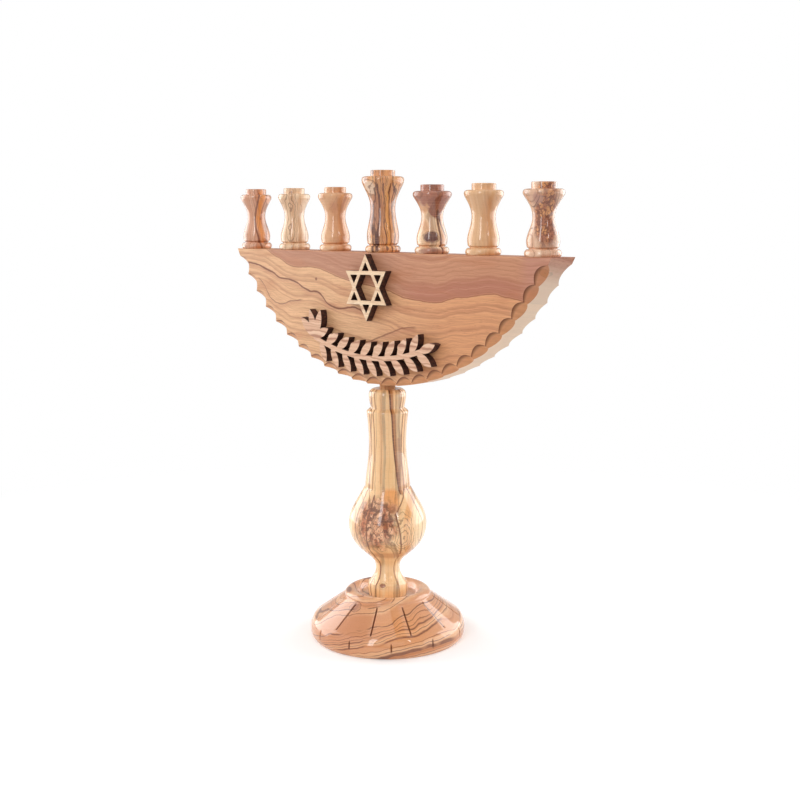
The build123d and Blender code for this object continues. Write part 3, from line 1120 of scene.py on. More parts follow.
@dataclass
class TurnedBase:
    """Base disc: rounded rim, straight flank with V grooves, bead ring and dish.

    Long grooves run down the flank and short nicks cut the rim halfway between them.
    The near_cut distances place the grid's columns beside each cut, and columns spread
    no further apart in angle than they do at the spread_inside radius.
    """

    foot_radius: float = 48.6
    rim_bulge: float = 0.06
    flank_foot_in: float = 2.6
    flank_foot_height: float = 13.2
    flank_top_radius: float = 28.0
    flank_top_height: float = 27.5
    ring_radius: float = 24.6
    dish_radius: float = 18.9
    dish_height: float = 26.8
    socket_radius: float = 5.1
    socket_floor: float = 12.0
    groove_count: int = 12
    groove_depth: float = 0.9
    groove_width: float = 1.5
    groove_end: float = 0.6
    groove_fade: float = 0.5
    groove_turn: float = 5.3
    groove_drift: float = 4.0
    drift_turn: float = 10.0
    nick_height: float = 7.4
    nick_length: float = 6.5
    nick_inside: float = 46.0
    ring_step: float = 1.2
    ease: float = 0.35
    near_cut: tuple[float, ...] = (-2.2, -1.5, -1.0, -0.75, -0.5, -0.25, 0, 0.25, 0.5, 0.75, 1.0, 1.5, 2.2)
    spread_inside: float = 22.0

    def section(self) -> np.ndarray:
        """Draw the half-section.

        Returns:
            Radius and height of each row, from the underside's centre to the socket floor.
        """
        low, high = node_box("base")
        rim = high[0] - self.rim_bulge
        rise = self.flank_top_height + self.ring_step
        outline = Outline(0, low[2]).line(self.foot_radius, low[2], 4)
        outline.arc((rim - 0.5, 2.0), (rim, 5.0), 6)
        outline.arc((rim - 0.7, 10.0), (rim - self.flank_foot_in, self.flank_foot_height), 12)
        outline.line(self.flank_top_radius, self.flank_top_height, 26).line(self.flank_top_radius, rise, 2)
        outline.arc((self.ring_radius, high[2]), (self.dish_radius, self.dish_height + 1.4), 18)
        dish, floor = self.dish_radius, self.dish_height
        outline.arc((dish - 0.9, floor + 0.4), (dish - 2.2, floor), 5)
        outline.line(self.socket_radius, floor, 3).line(self.socket_radius, self.socket_floor)
        return outline.line(0, self.socket_floor).eased(self.ease)

    def groove_angles(self) -> np.ndarray:
        """Angle of each groove in degrees: even spacing with a slow drift of the hand."""
        even = np.arange(self.groove_count) * 360 / self.groove_count
        return even + self.groove_turn + self.groove_drift * np.sin(np.radians(even + self.drift_turn))

    def columns(self, grooves: np.ndarray, radius: np.ndarray) -> tuple[np.ndarray, np.ndarray, np.ndarray]:
        """Lay out the columns of the grid, close together at every cut.

        A column near a cut keeps a constant distance t from it, so its angle there is
        the cut's angle plus t / r. Between two cuts four columns are evenly spaced.

        Args:
            grooves: Angle of each groove in degrees.
            radius: Radius of each ring as an (n, 1) array.

        Returns:
            Angle in degrees of each ring's columns, distance of each column from its
            cut, and whether that cut is a groove; nicks lie halfway between grooves.
        """
        nicks = (grooves + np.append(grooves[1:], grooves[0] + 360)) / 2
        cuts = np.sort(np.concatenate((grooves, nicks)))
        near = np.array(self.near_cut)
        reach = np.degrees(near[None, :] / np.maximum(radius, self.spread_inside))
        space = (np.append(cuts[1:], cuts[0] + 360) - cuts)[:, None]
        between = cuts[:, None] + space * np.linspace(0, 1, 10)[None, 3:-3]
        columns = []
        for cut, free in zip(cuts, between):
            columns += [cut + reach, np.repeat(free[None, :], len(radius), axis=0)]
        apart = np.append(near, np.full(between.shape[1], np.inf))
        owner = np.repeat(np.isin(cuts, grooves), len(apart))
        return np.hstack(columns), np.tile(apart, len(cuts)), owner

    def build(self, wood: Wood) -> bpy.types.Object:
        """Turn the base and cut its grooves and nicks.

        A V cut is depth (1 - |t| / half width) where that is positive, at the distance
        t from its line. A groove keeps its depth along the flank and runs out at both
        ends, and a nick's depth follows half an ellipse over its height.

        Args:
            wood: Finish of the base.

        Returns:
            The base.
        """
        rows = self.section()
        radius, height = rows[1:-1, 0], rows[1:-1, 1]
        angle, apart, owner = self.columns(self.groove_angles(), radius[:, None])
        vee = np.clip(1 - np.abs(apart) / (self.groove_width / 2), 0, 1)
        half_run = (self.flank_top_height - self.flank_foot_height) / 2 - self.groove_end
        middle = (self.flank_top_height + self.flank_foot_height) / 2
        flank = np.clip((half_run - np.abs(height - middle)) / self.groove_fade, 0, 1)
        flank = flank * (radius > self.flank_top_radius)
        along = (height - self.nick_height) / (self.nick_length / 2)
        lip = np.sqrt(np.clip(1 - along**2, 0, 1)) * (radius > self.nick_inside)
        share = vee * np.where(owner, flank[:, None], lip[:, None])
        piece = lathe("turned_base", rows, np.radians(angle), self.groove_depth * share)
        store_share(piece, "cut", np.append(share.ravel(), (0.0, 0.0)))
        return finish_piece(piece, wood, "base")


@dataclass
class TurnedStem:
    """One spindle: bead head, long neck, band, bulb, cove and round foot."""

    head_radius: float = 12.0
    shoulder_radius: float = 13.4
    waist_radius: float = 12.05
    band_radius: float = 14.5
    band_height: float = 3.0
    bulb_edge_radius: float = 12.3
    bulb_length: float = 46.0
    cove_radius: float = 7.85
    cove_length: float = 16.8
    foot_radius: float = 12.9
    foot_height: float = 9.0
    socket_radius: float = 5.1
    socket_depth: float = 18.8
    head_length: float = 15.3
    bead_length: float = 12.0
    ease: float = 0.3
    columns: int = 128

    def section(self) -> np.ndarray:
        """Draw the half-section.

        The cove, bulb and neck are splines through shares of their own lengths.

        Returns:
            Radius and height of each row, from the lower socket's ceiling to the upper
            socket's floor.
        """
        low, high = node_box("stem")
        foot, top, bulb = low[2], high[2], high[0]
        foot_top = foot + self.foot_height
        cove = foot_top + 0.55 * self.cove_length
        bulb_low = foot_top + self.cove_length
        bulb_top = bulb_low + self.bulb_length
        band = bulb_top + self.band_height
        step = self.band_radius + 0.8
        shoulder = top - self.head_length
        neck = shoulder - band
        upper, lower = bulb - step, bulb - self.bulb_edge_radius
        outline = Outline(0, foot + self.socket_depth).line(self.socket_radius, foot + self.socket_depth)
        outline.line(self.socket_radius, foot, 4).line(self.foot_radius - 0.5, foot, 2)
        foot_middle = (self.foot_radius, foot + self.foot_height / 2)
        outline.arc(foot_middle, (self.foot_radius - 0.4, foot_top - 0.4), 10)
        outline.line(self.foot_radius - 1.3, foot_top + 0.5)
        outline.spline((
            (self.cove_radius + 0.75, cove - 0.24 * self.cove_length),
            (self.cove_radius, cove),
            (self.cove_radius + 0.75, cove + 0.24 * self.cove_length),
            (self.bulb_edge_radius - 1.0, bulb_low),
        ))
        outline.line(self.bulb_edge_radius, bulb_low + 0.8)
        outline.spline((
            (self.bulb_edge_radius + 0.22 * lower, bulb_low + 0.072 * self.bulb_length),
            (self.bulb_edge_radius + 0.77 * lower, bulb_low + 0.248 * self.bulb_length),
            (bulb, bulb_low + 0.487 * self.bulb_length),
            (step + 0.91 * upper, bulb_low + 0.617 * self.bulb_length),
            (step + 0.37 * upper, bulb_low + 0.857 * self.bulb_length),
            (step, bulb_top),
        ))
        outline.line(self.band_radius + 0.1, bulb_top + 0.6).line(self.band_radius, band, 2)
        outline.spline((
            (self.band_radius - 0.8, band + 0.14 * neck),
            (self.waist_radius + 0.5, band + 0.36 * neck),
            (self.waist_radius, band + 0.59 * neck),
            (self.waist_radius + 0.35, band + 0.77 * neck),
            (self.shoulder_radius, shoulder),
        ))
        rounded = (self.shoulder_radius - 0.8, shoulder + 1.6)
        outline.arc((self.shoulder_radius - 0.1, shoulder + 0.9), rounded, 4)
        outline.line(self.head_radius - 1.2, top - self.bead_length, 2)
        outline.spline((
            (self.head_radius, top - 5.0),
            (self.head_radius - 0.7, top - 1.4),
            (self.head_radius - 2.6, top),
        ))
        outline.line(self.socket_radius, top, 2).line(self.socket_radius, top - self.socket_depth, 4)
        return outline.line(0, top - self.socket_depth).eased(self.ease)

    def build(self, wood: Wood) -> bpy.types.Object:
        """Turn the stem.

        Args:
            wood: Finish of the stem.

        Returns:
            The stem.
        """
        return finish_piece(lathe("turned_stem", self.section(), even_turn(self.columns)), wood, "stem")


@dataclass
class CandleCup:
    """One turned cup with its ring foot, belly, waist, flared rim, collar and bore.

    The collar holds the candle, and the pin hole is in the foot.
    """

    number: int
    rim_radius: float
    waist_radius: float
    ring_radius: float = 10.5
    belly_radius: float = 9.4
    collar_radius: float = 7.1
    collar_height: float = 3.8
    foot_height: float = 4.4
    groove_in: float = 1.5
    bore_radius: float = 5.2
    bore_depth: float = 14.0
    pin_radius: float = 3.1
    pin_depth: float = 8.8
    ease: float = 0.22
    columns: int = 96

    def section(self, height: float) -> np.ndarray:
        """Draw the half-section of a cup that stands on height zero.

        The body is a spline through shares of its height, from belly to waist to rim.

        Args:
            height: Height of the collar's top.

        Returns:
            Radius and height of each row, from the pin hole's ceiling to the bore's floor.
        """
        ring, belly, waist, rim = self.ring_radius, self.belly_radius, self.waist_radius, self.rim_radius
        foot, lip = self.foot_height, height - self.collar_height
        body = lip - foot
        outline = Outline(0, self.pin_depth).line(self.pin_radius, self.pin_depth)
        outline.line(self.pin_radius, 0, 2).line(ring - 0.9, 0, 2)
        outline.arc((ring, 2.0), (ring - 1.5, foot - 0.2), 9).line(belly - self.groove_in, foot - 0.2)
        outline.line(belly - self.groove_in, foot + 0.2).line(belly - 0.4, foot + 1.0)
        outline.spline((
            (belly, foot + 0.14 * body),
            (belly - 0.27 * (belly - waist), foot + 0.26 * body),
            (waist, foot + 0.51 * body),
            (waist + 0.13 * (rim - waist), foot + 0.66 * body),
            (waist + 0.80 * (rim - waist), foot + 0.86 * body),
            (rim, foot + 0.94 * body),
            (rim - 0.4, lip - 0.7),
            (rim - 1.7, lip),
        ))
        collar = self.collar_radius
        outline.line(collar, lip, 2).line(collar, height - 0.5, 2)
        outline.arc((collar - 0.15, height - 0.15), (collar - 0.5, height), 4)
        outline.line(self.bore_radius, height).line(self.bore_radius, height - self.bore_depth, 6)
        return outline.line(0, height - self.bore_depth).eased(self.ease)

    def build(self, wood: OliveWood) -> bpy.types.Object:
        """Turn the cup and set it in its place on the board.

        Args:
            wood: Finish of the cup, whose own places count from the cup's foot.

        Returns:
            The cup.
        """
        node = f"cup_{self.number}"
        low, high = node_box(node)
        rows = self.section(high[2] - low[2])
        piece = lathe(f"candle_cup_{self.number}", rows, even_turn(self.columns))
        place = np.array(((low[0] + high[0]) / 2, (low[1] + high[1]) / 2, low[2]))
        coords = np.empty(len(piece.data.vertices) * 3)
        piece.data.vertices.foreach_get("co", coords)
        piece.data.vertices.foreach_set("co", (coords.reshape(-1, 3) + place * MM).ravel())
        return finish_piece(piece, replace(wood, origin=tuple(place.tolist())), node)


@dataclass
class HalfMoonBoard:
    """Half-moon slab with a row of scoops cut along both lower corners.

    A full scoop reaches in by on_face on the face and by on_edge on the arc's edge. The
    pitch, phase and drift are degrees round the arc, and the grid runs past the end
    scoops by the overrun, also in degrees.
    """

    scoop_count: int = 24
    tool_radius: float = 10.0
    on_face: float = 5.5
    on_edge: float = 4.7
    pitch: float = 4.98
    phase: float = 2.3
    drift: float = 0.0157
    ease: float = 0.45
    overrun: float = 2.6
    columns_per_scoop: int = 16
    edge_rows: int = 3
    cut_rows: int = 6
    face_rows: int = 26

    def scoop_angles(self) -> np.ndarray:
        """Angle of each scoop from straight down, in degrees."""
        step = np.arange(self.scoop_count) - (self.scoop_count - 1) / 2
        return self.phase + self.pitch * step - self.drift * step**2

    def columns(self, tip: float) -> np.ndarray:
        """Angles of the grid's columns, with one on every ridge between two scoops.

        Args:
            tip: Angle of the board's tips in degrees.

        Returns:
            Angles in degrees from tip to tip.
        """
        scoops = self.scoop_angles()
        ridges = (scoops[1:] + scoops[:-1]) / 2
        ends = (scoops[0] - self.overrun, scoops[-1] + self.overrun)
        stops = np.concatenate(([-tip, ends[0]], ridges, [ends[1], tip]))
        share = np.arange(self.columns_per_scoop) / self.columns_per_scoop
        inner = stops[:-1, None] + share[None, :] * np.diff(stops)[:, None]
        return np.append(inner.ravel(), tip)

    def scoop_depth(self, arc: float, angle: np.ndarray, slant: float) -> np.ndarray:
        """Depth taken off the corner at each column, square to the cut.

        It is sqrt(q^2 - t^2) - (q - c) where that is positive, with q the tool's radius,
        t the distance along the arc from the nearest scoop and c the full depth.

        Args:
            arc: Radius of the board's arc.
            angle: Angle of each column in radians.
            slant: Angle between the cut and the face in radians.

        Returns:
            Depth in millimetres.
        """
        full = self.on_face * math.sin(slant)
        away = arc * np.abs(angle[:, None] - np.radians(self.scoop_angles())[None, :])
        cut = np.sqrt(np.clip(self.tool_radius**2 - away**2, 0, None)) - (self.tool_radius - full)
        return np.clip(cut.max(axis=1), 0, None)

    def front_rows(
        self, arc: float, top: np.ndarray, deep: float, leg_face: np.ndarray, leg_edge: np.ndarray
    ) -> np.ndarray:
        """Follow the front half of the slab's section from the arc to the top edge.

        The rows cross half of the arc's edge, the cut and the face, turn a quarter
        round at the top corner and cross half of the top edge.

        Args:
            arc: Radius of the board's arc.
            top: Radius of the top edge at each column.
            deep: Half the board's thickness.
            leg_face: How far each column's cut reaches in on the face.
            leg_edge: How far it reaches in on the edge.

        Returns:
            Radius and side of each row's points as a (rows, 2, columns) array.
        """
        room = arc - top
        kept = np.clip(room / leg_face, 0, 1)
        ease = np.minimum(self.ease, 0.3 * room)
        rows = []
        for share in np.arange(self.edge_rows) / self.edge_rows:
            rows.append((arc + 0 * top, share * (deep - leg_edge)))
        for share in np.linspace(0, kept, self.cut_rows):
            rows.append((arc - share * leg_face, deep - leg_edge * (1 - share)))
        face_low, face_side = rows[-1]
        face_top = np.minimum(top + ease, face_low)
        for share in np.linspace(0, 1, self.face_rows + 1)[1:]:
            rows.append((face_low + share * (face_top - face_low), face_side))
        for turn in np.radians((22.5, 45, 67.5, 90)):
            rounded = ease * (1 - math.cos(turn))
            rows.append((np.minimum(top + ease * (1 - math.sin(turn)), face_low), face_side - rounded))
        flat = rows[-1][1]
        for share in (0.66, 0.33):
            rows.append((top, share * flat))
        return np.array(rows)

    def build(self, wood: Wood) -> bpy.types.Object:
        """Shape the board as a grid of radial columns.

        A column stands at angle a from straight down and runs from the arc, at radius
        R from the arc's centre, in to the top edge at radius (centre - top) / cos a. A
        cut of depth c meets the face c / sin s and the edge c / cos s from the corner,
        s its slant. The back mirrors the front. The carved share runs from zero at the
        edge to one at the face.

        Args:
            wood: Finish of the board.

        Returns:
            The board.
        """
        low, high = node_box("board")
        half, drop = (high[0] - low[0]) / 2, high[2] - low[2]
        arc = (half**2 + drop**2) / (2 * drop)
        centre_x, centre_z = (high[0] + low[0]) / 2, low[2] + arc
        tip = math.degrees(math.acos((centre_z - high[2]) / arc))
        angle = np.radians(self.columns(tip))
        slant = math.atan2(self.on_edge, self.on_face)
        depth = self.scoop_depth(arc, angle, slant)
        top = (centre_z - high[2]) / np.cos(angle)
        leg_face = np.maximum(depth / math.sin(slant), 1e-6)
        front = self.front_rows(arc, top, (high[1] - low[1]) / 2, leg_face, depth / math.cos(slant))
        back = front[::-1].copy()
        back[:, 1] *= -1
        ridge = np.stack((top, 0 * top))[None]
        loop = np.concatenate((front, ridge, back[:-1]))
        radius, side = loop[:, 0], loop[:, 1]
        x = centre_x + radius * np.sin(angle)
        z = centre_z - radius * np.cos(angle)
        points = np.stack((x.T, side.T, z.T), axis=-1)
        faces = grid_faces(len(angle), len(loop))
        piece = make_piece("half_moon_board", points.reshape(-1, 3), faces.tolist())
        worked = self.edge_rows + np.arange(self.cut_rows)
        carved = np.zeros(radius.shape)
        carved[worked] = np.linspace(0, 1, self.cut_rows)[:, None] * (depth > 0.05)
        carved[-worked] = carved[worked]
        store_share(piece, "carved", carved.T.ravel())
        tidy_mesh(piece)
        return finish_piece(piece, wood, "board")


@dataclass
class SawnOrnament:
    """A flat ornament: the CAD node's outline, merged and softened along its edges."""

    node: str
    name: str
    ease: float = 0.22
    ease_over: float = 40.0

    def build(self, wood: Wood) -> bpy.types.Object:
        """Copy the node's mesh, merge its triangles and round its arrises.

        Args:
            wood: Finish of the ornament.

        Returns:
            The ornament.
        """
        piece = link_object(self.name, bpy.data.objects[self.node].data.copy())
        piece.data.name = self.name
        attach(piece, "root")
        tidy_mesh(piece, flatten=True)
        bevel = piece.modifiers.new("eased_arris", "BEVEL")
        bevel.width = self.ease * MM
        bevel.segments = 2
        bevel.limit_method = "ANGLE"
        bevel.angle_limit = math.radians(self.ease_over)
        return finish_piece(piece, wood, self.node)


def tidy_mesh(piece: bpy.types.Object, flatten: bool = False) -> None:
    """Merge points that coincide and turn the faces outwards.

    Args:
        piece: Object whose mesh is tidied.
        flatten: Whether coplanar triangles are joined into whole faces.
    """
    work = bmesh.new()
    work.from_mesh(piece.data)
    bmesh.ops.remove_doubles(work, verts=work.verts, dist=MERGE_UNDER)
    bmesh.ops.dissolve_degenerate(work, edges=work.edges, dist=MERGE_UNDER)
    if flatten:
        bmesh.ops.dissolve_limit(work, angle_limit=math.radians(1.0), verts=work.verts, edges=work.edges)
    bmesh.ops.recalc_face_normals(work, faces=work.faces)
    work.to_mesh(piece.data)
    work.free()
    shade_smooth(piece.data)


def finish_piece(piece: bpy.types.Object, wood: Wood, node: str) -> bpy.types.Object:
    """Give a piece its finish and hide the CAD node that it stands for.

    Args:
        piece: New piece.
        wood: Its finish.
        node: CAD node that it replaces.

    Returns:
        The same piece.
    """
    piece.data.materials.clear()
    piece.data.materials.append(wood.build())
    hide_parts(node)
    log.info("%s stands for %s: %d faces", piece.name, node, len(piece.data.polygons))
    return piece


# --------------------------------------------------------------------------- finishes
# Marks of the base and the stem are placed in the CAD frame, and those of a cup count
# from its foot. around() gives the side of the wood that a mark lies on.

BASE_WOOD = OliveWood(
    "olive_base", "base_olive_wood",
    pale=srgb(230, 176, 130), tan=srgb(214, 150, 104), dark=srgb(200, 128, 78), vein=srgb(98, 46, 26),
    line=srgb(116, 58, 30), heart=around(90, 34, -150), axis=around(0, 1, -0.06), band=4.0, wander=11.0,
    ripple=1.2, ring_gap=1.6, ring_share=0.95, vein_gap=8.0, seed=3.1, darkened_cuts=True,
    marks=(
        Patch(around(-45, 45, 16), (22, 22, 14), srgb(196, 128, 86), 0.75, 0.5),
        Patch(around(12, 40, 16), (14, 14, 8), srgb(224, 150, 88), 0.5, 0.6),
        # Painted reflection: a pale cream patch over the dish and the bead ring, where the lacquer mirrors
        # the white surround.
        Patch((0, 0, 29.5), (22, 22, 4.5), srgb(248, 218, 184), 0.65, 0.3),
        Patch(around(-42, 32, 26), (3.5, 3.5, 2.6), srgb(160, 104, 84), 0.7, 0.4, 1.0),
        Patch(around(4, 40, 20), (1.3, 1.3, 0.8), srgb(110, 56, 34), 0.9, 0.3),
    ),
)
STEM_WOOD = OliveWood(
    "olive_stem", "stem_olive_wood",
    pale=srgb(252, 218, 170), tan=srgb(248, 202, 148), dark=srgb(234, 170, 108), vein=srgb(104, 52, 30),
    line=srgb(148, 82, 42), heart=around(-78, 42, 60), axis=(0.01, 0.0, 1), band=7.0, wander=5.0,
    ripple=1.6, ring_gap=1.9, ring_share=0.75, vein_gap=9.0, vein_share=0.5, seed=5.7,
    swirls=(Swirl(around(-18, 25, 74), (13, 13, 15), 9.0, 5.0),),
    marks=(
        Patch(around(6, 18, 94), (6, 6, 8), srgb(242, 160, 84), 0.85, 0.35),
        Patch(around(25, 25, 71), (6, 6, 11), srgb(246, 206, 160), 0.5, 0.4, 3.2),
        Burl(
            around(-20, 21, 79), (13, 13, 16), 2.4,
            srgb(238, 182, 142), srgb(184, 106, 70), srgb(92, 42, 24),
        ),
        Patch(around(12, 20, 82), (3.0, 3.0, 9), srgb(176, 104, 78), 0.6, 0.5),
        Patch(around(0, 15, 57), (12, 12, 2.6), srgb(190, 112, 62), 0.6, 0.5),
        Patch(around(-16, 13, 36), (2.2, 2.2, 1.8), srgb(128, 60, 44), 0.85, 0.3, 1.5),
        Streak((34, 132), (46, 99), (1.0, 2.4), srgb(214, 158, 128), 0.6, 0.5, 0.5),
        Streak((9, 166), (34, 97), (1.3, 1.1), srgb(174, 104, 56), 0.85, 0.5, 0.5),
        Streak((5, 166), (30, 97), (0.55, 0.55), srgb(96, 46, 26), 0.95, 0.4, 0.5),
        Streak((-62, 166), (-52, 58), (0.5, 0.5), srgb(136, 78, 48), 0.85, 0.4, 1.4),
        Streak((-43, 166), (-42, 99), (0.5, 0.5), srgb(150, 92, 58), 0.75, 0.4, 1.4),
        Streak((-22, 160), (-18, 104), (0.7, 0.9), srgb(222, 168, 120), 0.6, 0.5, 1.4),
        Streak((47, 166), (46, 99), (0.5, 0.5), srgb(136, 78, 48), 0.85, 0.4, 1.4),
        Streak((60, 166), (57, 99), (0.5, 0.5), srgb(146, 86, 54), 0.8, 0.4, 1.4),
        Streak((-30, 96), (-38, 26), (0.5, 0.5), srgb(104, 52, 32), 0.9, 0.4, 1.4),
        Streak((46, 100), (16, 87), (0.5, 0.5), srgb(120, 64, 40), 0.85, 0.4, 1.4),
        Streak((12, 86), (26, 58), (0.5, 0.5), srgb(112, 58, 36), 0.85, 0.4, 1.4),
        Streak((56, 101), (64, 58), (0.5, 0.5), srgb(130, 72, 46), 0.8, 0.4, 3.5),
        Streak((-70, 44), (-56, 24), (0.6, 0.6), srgb(130, 72, 46), 0.8, 0.4, 1.4),
        Streak((26, 56), (40, 24), (0.5, 0.5), srgb(168, 108, 66), 0.7, 0.4, 1.4),
    ),
)
CUP_WOODS = (
    OliveWood(
        "olive_cup_1", "cup_tan_wood",
        pale=srgb(230, 178, 146), tan=srgb(212, 154, 122), dark=srgb(198, 128, 86), vein=srgb(110, 54, 30),
        line=srgb(140, 80, 52), heart=around(-100, 45), band=4.0, seed=1.3, ripple=3.4, ring_gap=1.5,
        ring_share=0.8, vein_gap=6.0, vein_share=0.6,
        marks=(
            Streak((38, 38), (14, 21), (2.2, 1.5), srgb(230, 148, 78), 0.85, 0.3),
            Streak((14, 21), (44, 4), (1.5, 2.2), srgb(230, 148, 78), 0.85, 0.3),
            Streak((22, 38), (-6, 20), (0.6, 0.6), srgb(124, 66, 40), 0.9, 0.3),
            Streak((-6, 20), (26, 0), (0.6, 0.7), srgb(124, 66, 40), 0.9, 0.3),
            Streak((52, 38), (34, 20), (0.5, 0.5), srgb(150, 88, 52), 0.8, 0.3),
        ),
    ),
    OliveWood(
        "olive_cup_2", "cup_pale_wood",
        pale=srgb(244, 210, 174), tan=srgb(234, 194, 154), dark=srgb(216, 164, 120), vein=srgb(150, 92, 60),
        line=srgb(160, 104, 70), heart=around(-75, 26), band=5.0, seed=2.9, ripple=5.0, ring_gap=1.7,
        ring_share=0.7, vein_share=0.4,
        marks=(
            Patch(around(70, 9, 24), (6, 6, 16), srgb(248, 222, 192), 0.7, 0.4),
            Patch(around(-16, 9, 22), (3.6, 3.6, 17), srgb(236, 196, 156), 0.3, 0.4, 2.2),
        ),
    ),
    OliveWood(
        "olive_cup_3", "cup_tan_wood",
        pale=srgb(228, 174, 128), tan=srgb(218, 158, 112), dark=srgb(200, 136, 90), vein=srgb(140, 80, 50),
        line=srgb(170, 108, 70), heart=around(130, 60), band=6.0, seed=5.2, ripple=3.0, ring_gap=1.8,
        ring_share=0.35, vein_share=0.2,
        marks=(Patch(around(-8, 7, 30), (2.6, 2.6, 5), srgb(196, 120, 76), 0.5, 0.5),),
    ),
    OliveWood(
        "olive_cup_4", "cup_streaked_wood",
        pale=srgb(240, 184, 128), tan=srgb(224, 156, 100), dark=srgb(190, 122, 82), vein=srgb(78, 34, 20),
        line=srgb(96, 44, 26), heart=around(-60, 30), band=5.0, seed=4.4, ripple=6.0, ring_gap=1.5,
        ring_share=1.0, vein_gap=6.0, vein_share=0.8, wander=9.0,
        marks=(
            Patch(around(-38, 8, 24), (5.5, 5.5, 14), srgb(168, 108, 84), 0.7, 0.4),
            Patch(around(-45, 12, 40), (4.6, 4.6, 4.2), srgb(240, 208, 178), 0.9, 0.25, 1.0),
            Patch(around(-22, 10, 8), (1.8, 1.8, 5.5), srgb(74, 34, 30), 0.85, 0.35),
            Streak((-14, 42), (-20, 2), (0.7, 0.9), srgb(84, 38, 26), 0.9, 0.35, 4.0),
            Streak((-48, 30), (-34, 0), (0.6, 0.8), srgb(84, 38, 26), 0.9, 0.35, 4.0),
            Streak((4, 42), (14, 2), (0.5, 0.5), srgb(104, 50, 26), 0.9, 0.35, 5.0),
            Streak((22, 42), (30, 0), (0.6, 0.5), srgb(96, 44, 24), 0.9, 0.35, 5.0),
            Streak((40, 42), (50, 0), (0.5, 0.6), srgb(110, 54, 30), 0.9, 0.35, 5.0),
            Streak((58, 42), (66, 0), (0.5, 0.6), srgb(110, 54, 30), 0.9, 0.35, 5.0),
            Streak((12, 40), (22, 4), (1.0, 1.4), srgb(240, 168, 92), 0.7, 0.5, 5.0),
        ),
    ),
    OliveWood(
        "olive_cup_5", "cup_dark_streaked_wood",
        pale=srgb(248, 214, 176), tan=srgb(240, 198, 156), dark=srgb(220, 164, 120), vein=srgb(100, 50, 34),
        line=srgb(150, 90, 60), heart=around(110, 40), band=5.0, seed=6.1, ring_gap=2.0, ring_share=0.45,
        vein_gap=9.0, vein_share=0.4,
        marks=(
            Patch(around(-20, 2, 39.5), (16, 16, 10.5), srgb(168, 100, 78), 0.95, 0.08),
            Patch(around(20, 7, 30), (6.0, 6.0, 8.5), srgb(156, 90, 68), 0.95, 0.12),
            Streak((24, 26), (36, 0), (0.7, 0.65), srgb(92, 42, 30), 0.95, 0.3, 1.0),
            Streak((30, 25), (72, 4), (0.7, 0.65), srgb(92, 42, 30), 0.95, 0.3, 1.0),
            Patch(around(-7, 9.6, 10.2), (4.8, 4.8, 3.2), srgb(84, 44, 46), 0.97, 0.15, 2.0),
            Patch(around(-8, 10, 1.6), (8, 8, 2.2), srgb(156, 94, 78), 0.8, 0.3),
        ),
    ),
    OliveWood(
        "olive_cup_6", "cup_pale_wood",
        pale=srgb(238, 196, 152), tan=srgb(228, 178, 130), dark=srgb(212, 156, 108), vein=srgb(156, 98, 66),
        line=srgb(180, 122, 84), heart=around(60, 70), band=6.0, seed=8.8, ring_gap=2.0, ring_share=0.3,
        vein_share=0.2,
        marks=(Patch(around(12, 7.5, 24), (3.0, 3.0, 14), srgb(216, 152, 102), 0.5, 0.6),),
    ),
    OliveWood(
        "olive_cup_7", "cup_dark_streaked_wood",
        pale=srgb(246, 208, 176), tan=srgb(232, 184, 150), dark=srgb(200, 142, 112), vein=srgb(96, 46, 30),
        line=srgb(140, 80, 54), heart=around(-60, 40), band=4.0, seed=9.6, ring_gap=1.6, ring_share=0.7,
        vein_gap=5.0,
        marks=(
            Burl(
                around(2, 7, 24), (6.5, 6.5, 21), 1.3,
                srgb(238, 166, 104), srgb(176, 104, 70), srgb(118, 58, 32),
            ),
            Patch(around(-26, 10, 32), (3.0, 3.0, 3.4), srgb(198, 148, 130), 0.8, 0.3),
        ),
    ),
)
CUPS = (
    CandleCup(1, rim_radius=10.7, waist_radius=6.2),
    CandleCup(2, rim_radius=10.8, waist_radius=6.6),
    CandleCup(3, rim_radius=11.25, waist_radius=6.6),
    CandleCup(4, rim_radius=13.3, waist_radius=7.8, ring_radius=11.2, belly_radius=10.1, collar_radius=7.7),
    CandleCup(5, rim_radius=11.75, waist_radius=6.5),
    CandleCup(6, rim_radius=11.55, waist_radius=7.0),
    CandleCup(7, rim_radius=11.7, waist_radius=6.2),
)
STAR_WOOD = SawnWood("olive_star", srgb(248, 220, 188), srgb(240, 208, 172), srgb(214, 172, 140))
BRANCH_WOOD = SawnWood("olive_sprig", srgb(236, 198, 170), srgb(222, 178, 148), srgb(182, 132, 108))
DOWEL_WOOD = OliveWood(
    "beech_dowel", "dowel_wood",
    pale=srgb(222, 176, 132), tan=srgb(208, 158, 114), dark=srgb(186, 134, 92), vein=srgb(150, 100, 66),
    line=srgb(170, 118, 80), heart=(-60, 30, 0), band=6.0, wander=3.0, ring_share=0.2, vein_share=0.1,
    gloss=Gloss.RAW,
)


# ----------------------------------------------------------------------------- studio


@dataclass(frozen=True)
class SoftLamp:
    """One soft rectangular lamp that looks at the object."""

    name: str
    turn: float
    distance: float
    height: float
    size: Pair
    level: float
    aim: Triple = (0.0, 0.0, 0.16)

    def hang(self) -> None:
        """Hang the lamp and turn it towards its aim.

        Its energy is pi times its area times its level, which is the brightness of its
        face where one is white. It tips by the angle between its line of sight and
        straight down, and turns about Z with that line.
        """
        data = bpy.data.lights.new(self.name, "AREA")
        data.shape = "RECTANGLE"
        data.size, data.size_y = self.size
        data.energy = self.level * math.pi * self.size[0] * self.size[1]
        place = np.array(around(self.turn, self.distance, self.height))
        sight = np.array(self.aim) - place
        tip = math.atan2(math.hypot(sight[0], sight[1]), -sight[2])
        lamp = link_object(self.name, data)
        lamp.rotation_euler = Euler((tip, 0, math.atan2(sight[1], sight[0]) - math.pi / 2))
        lamp.location = place


